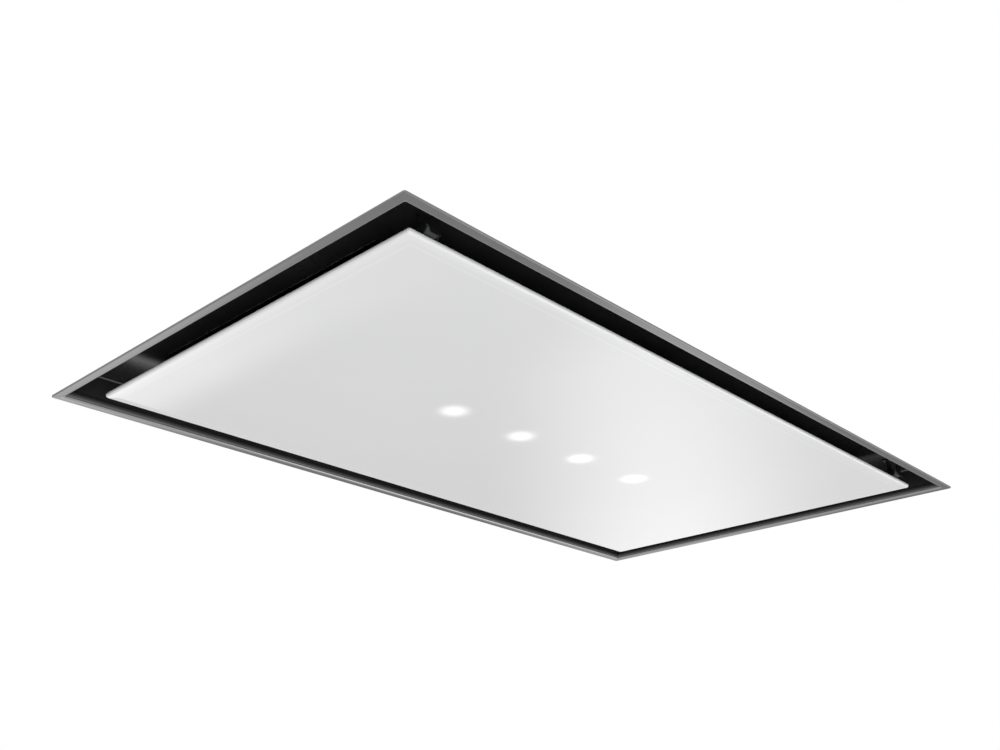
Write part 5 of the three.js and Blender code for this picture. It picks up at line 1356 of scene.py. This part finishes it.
@dataclass
class Panel(Assembly):
    """The hinged glass panel with its lamps, carrier, cover, arms and catch rollers.

    Its angles are in degrees, and facet_corner is a share of the corner's radius.
    """

    glass_thickness: float = 0.0055
    corner: float = 0.0032
    facet: float = 0.0105
    facet_fall: float = 0.0003
    facet_corner: float = 0.1
    edge: float = 0.0024
    edge_steps: int = 4
    edge_angle: float = 60.0
    crisp_angle: float = 1.2
    screw: Fastener = Fastener(radius=0.0034, height=0.0019)
    screw_inset: float = 0.006
    screw_margin: float = 0.03
    screw_columns: int = 6
    end_screw_reach: float = 0.09

    def build(self) -> None:
        """Builds the glass and dresses the rest."""
        self.glass()
        self.dress("panel_carrier", PANEL_BLACK, ease=0.0003)
        self.dress("panel_cover", PANEL_BLACK, ease=0.00015)
        self.dress("panel_loom", LEAD_SHEATH)
        for index in LAMP_NUMBERS:
            self.dress(f"lamp_lens_{index}", LENS)
            self.dress(f"lamp_body_{index}", CAST_METAL)
        for side in SIDES:
            self.dress(f"hinge_arm_{side}", ZINC, ease=0.00025)
            self.dress(f"catch_bracket_{side}", CATCH_BLACK, ease=0.0002)
            self.dress(f"catch_roller_{side}", GREY_PLASTIC, ease=0.0002)
        self.cover_screws()

    def lamp_centres(self) -> tuple[tuple[float, float], ...]:
        """The middle of each lamp, from its body's box.

        Returns:
            Each lamp's place in the panel's plane.
        """
        boxes = [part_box(f"lamp_body_{index}") for index in LAMP_NUMBERS]
        return tuple(((low.x + high.x) / 2, (low.y + high.y) / 2) for low, high in boxes)

    def glass(self) -> None:
        """The pane: rounded corners, a shallow ground facet round its face and arrised edges."""
        _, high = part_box("panel_glass")
        finish = PrintedGlass(self.lamp_centres(), high.x, high.y)
        bm = bmesh.new()
        outer, inner = (high.x, high.y), (high.x - self.facet, high.y - self.facet)
        loops = (
            (outer, self.corner, self.glass_thickness),
            (outer, self.corner, self.facet_fall),
            (inner, self.corner * self.facet_corner, 0.0),
        )
        for half, radius, z in loops:
            rounded_loop(bm, half, radius, z)
        bridge_stack(bm, [z for _, _, z in loops])
        sharp = [
            edge for edge in bm.edges
            if edge.calc_face_angle(0.0) > math.radians(self.edge_angle)
            and abs(edge.verts[0].co.z - edge.verts[1].co.z) < SAME_PLACE
        ]
        bmesh.ops.bevel(
            bm, geom=sharp, offset=self.edge, offset_type="OFFSET", segments=self.edge_steps,
            profile=0.5, affect="EDGES", material=-1,
        )
        pane = self.add("panel_pane", bm, Body.PANEL, Slot.GLASS, finish, self.crisp_angle)
        shade_evenly(pane)
        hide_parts("panel_glass")

    def cover_screws(self) -> None:
        """Screws round the cover's edge, into the carrier."""
        low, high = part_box("panel_cover")
        places = rim_places(
            low, high, self.screw_inset, high.z,
            spread(low.x + self.screw_margin, high.x - self.screw_margin, self.screw_columns),
            (-self.end_screw_reach, self.end_screw_reach),
        )
        self.fasteners("panel_cover_screws", self.screw, places, Body.PANEL)


@dataclass
class Blower(Assembly):
    """The sheet-metal blower box with its scroll, wheel, motor, collar and flaps.

    Its lap_ease is a share of the laps' thickness.
    """

    flange_screw: Fastener = Fastener(
        radius=0.0042, height=0.0026, drive=Drive.HEXAGON, washer=0.0058
    )
    flange_inset: float = 0.006
    flange_sheet: float = 0.001
    flange_counts: tuple[int, int] = (5, 3)
    flange_margins: tuple[float, float] = (0.03, 0.09)
    collar_screw: Fastener = Fastener(radius=0.0034, height=0.0019)
    collar_count: int = 6
    collar_inset: float = 0.0055
    collar_flange: float = 0.003
    rivet: Fastener = Fastener(radius=0.0019, height=0.0009, drive=Drive.NONE, steps=SMALL_STEPS)
    rivet_count: int = 4
    rivet_margin: float = 0.03
    rivet_drop: float = 0.0003
    lid_skin: float = 0.0013
    lap: float = 0.015
    lap_thickness: float = 0.0008
    lap_rise: float = 0.0045
    lap_gap: float = 0.0004
    lap_ease: float = 0.3
    weld: Fastener = Fastener(radius=0.0024, height=0.0002, drive=Drive.NONE, steps=SMALL_STEPS)
    weld_count: int = 6
    weld_margin: float = 0.015

    def build(self) -> None:
        """Dresses the blower and adds its screws, rivets and corner laps."""
        self.dress("blower_box", BOX_SHEET, ease=0.0004)
        self.dress("blower_lid", BOX_SHEET, ease=0.0004)
        for node in ("scroll_lower", "scroll_upper", "inlet_ring"):
            self.dress(node, BLACK_PLASTIC)
        self.dress("impeller", WHEEL_PLASTIC)
        self.dress("motor_rotor", ZINC)
        self.dress("motor_stator", CAST_METAL)
        self.dress("duct_collar", BLACK_PLASTIC, ease=0.0003)
        self.dress("flap_pin", ZINC)
        self.dress("flap_back", GREY_PLASTIC, ease=0.0002)
        self.dress("flap_front", GREY_PLASTIC, ease=0.0002)
        self.flange_screws()
        self.collar_screws()
        self.lid_rivets()
        self.corner_laps()

    def flange_screws(self) -> None:
        """Screws through the box's foot flange into the casing."""
        low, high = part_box("blower_box")
        margin_x, margin_y = self.flange_margins
        count_x, count_y = self.flange_counts
        places = rim_places(
            low, high, self.flange_inset, low.z + self.flange_sheet,
            spread(low.x + margin_x, high.x - margin_x, count_x),
            spread(low.y + margin_y, high.y - margin_y, count_y),
        )
        self.fasteners("blower_flange_screws", self.flange_screw, places, Body.CASING)

    def collar_screws(self) -> None:
        """A ring of screws through the collar's flange, one of them at its top."""
        low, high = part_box("duct_collar")
        centre = (low + high) / 2
        radius = (high.y - low.y) / 2 - self.collar_inset
        places = []
        for index in range(self.collar_count):
            angle = math.radians((index + 0.5) * 360 / self.collar_count)
            y = centre.y + radius * math.cos(angle)
            z = centre.z + radius * math.sin(angle)
            places.append(((low.x + self.collar_flange, y, z), (1, 0, 0)))
        self.fasteners("collar_screws", self.collar_screw, places, Body.CASING)

    def lid_rivets(self) -> None:
        """Small blind rivets through the lid's lips into the box's walls."""
        low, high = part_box("blower_lid")
        margin, count = self.rivet_margin, self.rivet_count
        places = wall_places(
            low, high, (low.z + high.z) / 2 - self.rivet_drop,
            spread(low.x + margin, high.x - margin, count),
            spread(low.y + margin, high.y - margin, count),
        )
        self.fasteners("blower_lid_rivets", self.rivet, places, Body.CASING)

    def corner_laps(self) -> None:
        """The walls' lapped corner strips, with a row of spot welds up each."""
        low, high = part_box("blower_lid")
        foot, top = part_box("blower_box")[0].z + self.lap_rise, low.z - self.lap_gap
        height, thick = top - foot, self.lap_thickness
        bm = bmesh.new()
        welds = []
        for x in (low.x + self.lid_skin + self.lap / 2, high.x - self.lid_skin - self.lap / 2):
            for side, wall in ((-1, low.y + self.lid_skin), (1, high.y - self.lid_skin)):
                place = Matrix.Translation((x, wall + side * thick / 2, foot + height / 2))
                size = Matrix.Diagonal((self.lap, thick, height, 1))
                bmesh.ops.create_cube(bm, size=1.0, matrix=place @ size)
                for z in spread(foot + self.weld_margin, top - self.weld_margin, self.weld_count):
                    welds.append(((x, wall + side * thick, z), (0, side, 0)))
        bmesh.ops.bevel(
            bm, geom=bm.edges, offset=thick * self.lap_ease, offset_type="OFFSET", segments=2,
            profile=0.5, affect="EDGES", material=-1,
        )
        self.add("blower_box_laps", bm, Body.CASING, Slot.GALVANISED, BOX_SHEET)
        self.fasteners(
            "blower_box_welds", self.weld, welds, Body.CASING, Slot.GALVANISED, BOX_SHEET
        )


@dataclass
class Electronics(Assembly):
    """The control box, what it holds, its cable gland and the leads."""

    screw: Fastener = Fastener(radius=0.0034, height=0.0019)
    screw_inset: float = 0.009
    screw_margin: float = 0.012
    screws_a_side: int = 3

    def build(self) -> None:
        """Dresses the box, its contents and the leads, and adds the lid's screws."""
        self.dress("electronics_box", BOX_SHEET, ease=0.0003)
        self.dress("electronics_lid", BOX_SHEET, ease=0.0003)
        self.dress("control_board", BOARD)
        self.dress("lamp_supply", BLACK_PLASTIC, ease=0.0004)
        self.dress("terminal_block", GREEN_PLASTIC, ease=0.0003)
        self.dress("cable_gland", GREY_PLASTIC, ease=0.0002)
        self.dress("motor_lead", LEAD_SHEATH)
        self.dress("lamp_lead", LEAD_SHEATH)
        self.dress("grommet_electronics", RUBBER)
        self.dress("grommet_blower", RUBBER)
        self.lid_screws()

    def lid_screws(self) -> None:
        """A row of screws along each end of the lid."""
        low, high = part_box("electronics_lid")
        margin = self.screw_margin
        places = [
            ((x, y, high.z), UP)
            for x in (low.x + self.screw_inset, high.x - self.screw_inset)
            for y in spread(low.y + margin, high.y - margin, self.screws_a_side)
        ]
        self.fasteners("lid_screws", self.screw, places, Body.CASING)


@dataclass(frozen=True)
class SoftLamp:
    """A square lamp aimed at the hood."""

    name: str
    place: tuple[float, float, float]
    size: float
    power: float
    shines: bool = True


@dataclass
class Studio:
    """The ceiling board, the floor, the light and the camera.

    The camera's angles are in radians and the softbox's in degrees.
    """

    eye: tuple[float, float, float] = (-0.8602, -0.7, -0.4038)
    yaw: float = 0.7832
    pitch: float = 0.4182
    roll: float = 0.001
    focal_pixels: float = 1080.6
    centre_pixels: float = 449.0
    image_width: float = 1000.0
    sensor: float = 36.0
    clip: tuple[float, float] = (0.01, 100.0)
    opening: tuple[float, float] = (0.888, 0.487)
    board_reach: float = 0.9
    board_height: float = 0.0027
    floor_height: float = -2.4
    floor_radius: float = 20.0
    floor_fade: tuple[float, float] = (0.5, 0.97)
    floor_glow: float = 0.2
    ambient: float = 0.62
    softbox_azimuth: float = 33.1
    softbox_half_angle: float = 10.5
    softbox_distance: float = 4.3
    softbox_span: tuple[float, float] = (-2.39, 0.0)
    softbox_glow: float = 1.7
    lean_heights: tuple[float, float] = (0.35, 0.9)
    lean: float = 0.28
    lean_taper: float = 0.3
    foot_fade: float = 0.8
    foot_glow: float = 0.2
    top_fade: float = 0.7
    strip_low: tuple[float, float, float] = (-0.2, 0.5, -0.778)
    strip_high: tuple[float, float, float] = (0.7, 2.2, -0.778)
    strip_feather: float = 0.19
    strip_glow: float = 1.8
    strip_end: float = 0.6
    strip_outer: float = 0.36
    strip_outer_blend: float = 0.06
    strip_outer_gain: float = 1.3
    lamp_aim: tuple[float, float, float] = (0.0, 0.0, 0.08)
    soft_lamps: tuple[SoftLamp, ...] = (
        SoftLamp("key_below", place=(-1.6, -1.9, -1.3), size=1.8, power=33.0, shines=False),
        SoftLamp("fill_below", place=(1.7, -1.1, -1.2), size=1.6, power=10.0),
        SoftLamp("key_above", place=(-1.5, -2.2, 2.5), size=3.0, power=19.0),
        SoftLamp("rim_above", place=(2.2, 1.7, 1.9), size=2.4, power=12.0),
    )

    def build(self) -> None:
        """Sets up everything that is not part of the hood."""
        bpy.context.scene.view_settings.view_transform = "Standard"
        self.camera()
        self.world()
        self.ceiling()
        self.floor()
        self.lamps()

    def camera(self) -> None:
        """The camera under the hood's front left corner."""
        ahead = Vector((
            math.cos(self.pitch) * math.cos(self.yaw),
            math.cos(self.pitch) * math.sin(self.yaw),
            math.sin(self.pitch),
        ))
        right = ahead.cross(UP).normalized()
        down = ahead.cross(right)
        c, s = math.cos(self.roll), math.sin(self.roll)
        across = right * c + down * s
        below = down * c - right * s
        turn = Matrix((across, -below, -ahead)).transposed()
        data = bpy.data.cameras.new("camera")
        data.sensor_width = self.sensor
        data.lens = self.focal_pixels * self.sensor / self.image_width
        data.shift_x = (self.image_width / 2 - self.centre_pixels) / self.image_width
        data.clip_start, data.clip_end = self.clip
        camera = bpy.data.objects.new("camera", data)
        camera.matrix_world = Matrix.Translation(self.eye) @ turn.to_4x4()
        bpy.context.scene.collection.objects.link(camera)
        bpy.context.scene.camera = camera

    def world(self) -> None:
        """White to the eye and in reflections, and a soft even light on the surfaces."""
        world = bpy.data.worlds.new("studio")
        bpy.context.scene.world = world
        world.use_nodes = True
        nodes, links = world.node_tree.nodes, world.node_tree.links
        path = nodes.new("ShaderNodeLightPath")
        strength = None
        for ray in ("Is Camera Ray", "Is Transmission Ray", "Is Glossy Ray"):
            brighter = nodes.new("ShaderNodeMath")
            brighter.operation = "MAXIMUM"
            links.new(path.outputs[ray], brighter.inputs[0])
            if strength is None:
                brighter.inputs[1].default_value = self.ambient
            else:
                links.new(strength, brighter.inputs[1])
            strength = brighter.outputs[0]
        links.new(strength, nodes["Background"].inputs["Strength"])
        nodes["Background"].inputs["Color"].default_value = (1, 1, 1, 1)

    def ceiling(self) -> None:
        """A white board round the cut-out, seen from below only."""
        bm = bmesh.new()
        half_x, half_y = (size / 2 + self.board_reach for size in self.opening)
        face = rectangle(bm, half_x, half_y, 0.0)
        bmesh.ops.inset_region(
            bm, faces=[face], thickness=self.board_reach, use_even_offset=True, use_boundary=True
        )
        bmesh.ops.delete(bm, geom=[face], context="FACES_ONLY")
        bmesh.ops.translate(bm, verts=bm.verts, vec=(0, 0, self.board_height))
        board = self.prop("ceiling_board", bm)
        material = bpy.data.materials.new("white_ceiling")
        material.use_nodes = True
        nodes, links = material.node_tree.nodes, material.node_tree.links
        nodes.clear()
        output = nodes.new("ShaderNodeOutputMaterial")
        mix = nodes.new("ShaderNodeMixShader")
        light = nodes.new("ShaderNodeEmission")
        clear = nodes.new("ShaderNodeBsdfTransparent")
        geometry = nodes.new("ShaderNodeNewGeometry")
        links.new(geometry.outputs["Backfacing"], mix.inputs[0])
        links.new(light.outputs[0], mix.inputs[1])
        links.new(clear.outputs[0], mix.inputs[2])
        links.new(mix.outputs[0], output.inputs[0])
        board.data.materials.append(material)
        self.seen_by_camera_only(board)

    def floor(self) -> None:
        """A pale disc far below that keeps the hood's soft shadow and fades out at its rim."""
        bm = bmesh.new()
        bmesh.ops.create_circle(bm, cap_ends=True, segments=96, radius=self.floor_radius)
        bmesh.ops.translate(bm, verts=bm.verts, vec=(0, 0, self.floor_height))
        floor = self.prop("floor", bm)
        g = Graph("pale_floor")
        x, y, _ = g.axes(g.place)
        reach = g.vector("LENGTH", g.combine(x, y, 0.0)).node.outputs["Value"]
        start, end = (self.floor_radius * share for share in self.floor_fade)
        fade = g.span(reach, start, end, 1.0, 0.0, "SMOOTHSTEP")
        path = g.nodes.new("ShaderNodeLightPath").outputs
        seen = g.math("MAXIMUM", path["Is Camera Ray"], path["Is Glossy Ray"])
        seen = g.math("MAXIMUM", seen, path["Is Transmission Ray"])
        floor.data.materials.append(
            g.finish(
                Base_Color=g.ramp(g.noise(0.8, 2), [(0.3, grey(0.81)), (0.7, grey(0.83))]),
                Roughness=0.9,
                Specular_IOR_Level=0.0,
                Emission_Color=(1, 1, 1),
                Emission_Strength=g.math("MULTIPLY", seen, self.floor_glow),
                Alpha=fade,
            )
        )

    def lamps(self) -> None:
        """Two sheets that show in reflections, two soft lamps below and two above."""
        self.softbox()
        self.strip()
        for lamp in self.soft_lamps:
            self.area(lamp)

    def softbox(self) -> None:
        """A tall sheet of light beyond the hood, which shows only in its reflections."""
        away = self.softbox_distance
        half = away * math.tan(math.radians(self.softbox_half_angle))
        low, high = self.softbox_span
        turn = math.radians(self.softbox_azimuth)
        ahead = Vector((math.cos(turn), math.sin(turn), 0))
        stand = Matrix((
            (-ahead.y, 0, -ahead.x), (ahead.x, 0, -ahead.y), (0, 1, 0)
        )).to_4x4()
        centre = Vector(self.eye) + ahead * away
        place = Matrix.Translation((centre.x, centre.y, (low + high) / 2)) @ stand
        sheet, g = self.light_sheet("tall_softbox", half, (high - low) / 2, place)
        x, y, _ = g.axes(g.place)
        foot = -(high - low) / 2
        lean_low, lean_high = self.lean_heights
        lean = g.span(y, foot + lean_low, foot + lean_high, 1.0, 0.0)
        shift = g.math("MULTIPLY", lean, half * self.lean)
        across = g.math("ABSOLUTE", g.math("ADD", x, shift))
        width = g.math("SUBTRACT", 1.0, g.math("MULTIPLY", lean, self.lean_taper))
        side = g.span(g.math("DIVIDE", across, width), 0.0, half, 1.0, 0.0, "SMOOTHSTEP")
        low_fade = g.span(y, foot, foot + self.foot_fade, self.foot_glow, 1.0)
        high_fade = g.span(y, -foot - self.top_fade, -foot, 1.0, 0.0)
        self.light_up(
            sheet, g, self.softbox_glow,
            g.math("MULTIPLY", side, g.math("MULTIPLY", low_fade, high_fade)),
        )

    def strip(self) -> None:
        """A low flat sheet of light whose reflection runs along the panel's left edge."""
        low, high = self.strip_low, self.strip_high
        half_x, half_y = (high[0] - low[0]) / 2, (high[1] - low[1]) / 2
        place = Matrix.Translation(((low[0] + high[0]) / 2, (low[1] + high[1]) / 2, low[2]))
        sheet, g = self.light_sheet("low_strip", half_x, half_y, place)
        x, y, _ = g.axes(g.place)
        near = g.span(x, half_x - self.strip_feather, half_x, 1.0, 0.0, "SMOOTHSTEP")
        along = g.span(y, -half_y, half_y * self.strip_end, 0.0, 1.0, "SMOOTHSTEP")
        outer = half_x - (high[0] - self.strip_outer)
        strong = self.strip_glow * self.strip_outer_gain
        glow = g.span(x, outer, outer + self.strip_outer_blend, strong, self.strip_glow)
        self.light_up(sheet, g, glow, g.math("MULTIPLY", near, along))

    def light_sheet(
        self, name: str, half_x: float, half_y: float, place: Matrix
    ) -> tuple[bpy.types.Object, Graph]:
        """A flat sheet of the studio and the graph of its material.

        Args:
            name: The sheet's name.
            half_x: Half its width.
            half_y: Half its height.
            place: Where it stands.

        Returns:
            The sheet and its graph.
        """
        bm = bmesh.new()
        bmesh.ops.create_grid(bm, x_segments=2, y_segments=2, size=1.0)
        bmesh.ops.scale(bm, verts=bm.verts, vec=(half_x, half_y, 1))
        sheet = self.prop(name, bm)
        sheet.matrix_world = place
        sheet.visible_camera = False
        sheet.visible_diffuse = False
        sheet.visible_shadow = False
        return sheet, Graph(name)

    def light_up(self, sheet: bpy.types.Object, g: Graph, glow: Source, cover: Source) -> None:
        """Makes a sheet glow, and see-through where its cover falls to zero.

        Args:
            sheet: The sheet.
            g: Its graph.
            glow: The strength of its light.
            cover: How solid it is, from 0 to 1.
        """
        g.finish(
            Base_Color=(0, 0, 0), Roughness=1.0, Specular_IOR_Level=0.0,
            Emission_Color=(1, 1, 1), Emission_Strength=glow, Alpha=cover,
        )
        sheet.data.materials.append(g.material)

    def area(self, lamp: SoftLamp) -> None:
        """Hangs one lamp, hidden from the camera.

        Args:
            lamp: Its place, size and power.
        """
        data = bpy.data.lights.new(lamp.name, "AREA")
        data.size = lamp.size
        data.energy = lamp.power
        hung = bpy.data.objects.new(lamp.name, data)
        aim = Vector(self.lamp_aim) - Vector(lamp.place)
        turn = aim.to_track_quat("-Z", "Y").to_matrix().to_4x4()
        hung.matrix_world = Matrix.Translation(lamp.place) @ turn
        hung.visible_camera = False
        hung.visible_glossy = lamp.shines
        bpy.context.scene.collection.objects.link(hung)

    def prop(self, name: str, bm: bmesh.types.BMesh) -> bpy.types.Object:
        """Turns a bmesh into a thing of the studio.

        Args:
            name: The thing's name.
            bm: Its shape; freed here.

        Returns:
            The thing, kept out of the hood's own pieces.
        """
        mesh = bpy.data.meshes.new(name)
        bm.to_mesh(mesh)
        bm.free()
        made = bpy.data.objects.new(name, mesh)
        bpy.context.scene.collection.objects.link(made)
        return made

    def seen_by_camera_only(self, thing: bpy.types.Object) -> None:
        """Keeps a thing out of the light, the shadows and the reflections.

        Args:
            thing: The thing.
        """
        thing.visible_diffuse = False
        thing.visible_glossy = False
        thing.visible_transmission = False
        thing.visible_shadow = False


def main() -> None:
    """Builds the hood's looks in order and keeps its sizes."""
    logging.basicConfig(level=logging.INFO, format="%(name)s: %(message)s")
    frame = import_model()
    nodes = frame["nodes"]
    for assembly in (
        Trim(nodes), Casing(nodes), Recess(nodes), Filters(nodes), Panel(nodes),
        Blower(nodes), Electronics(nodes),
    ):
        LOG.info("building %s", type(assembly).__name__)
        assembly.build()
    Studio().build()


if __name__ == "__main__":
    main()
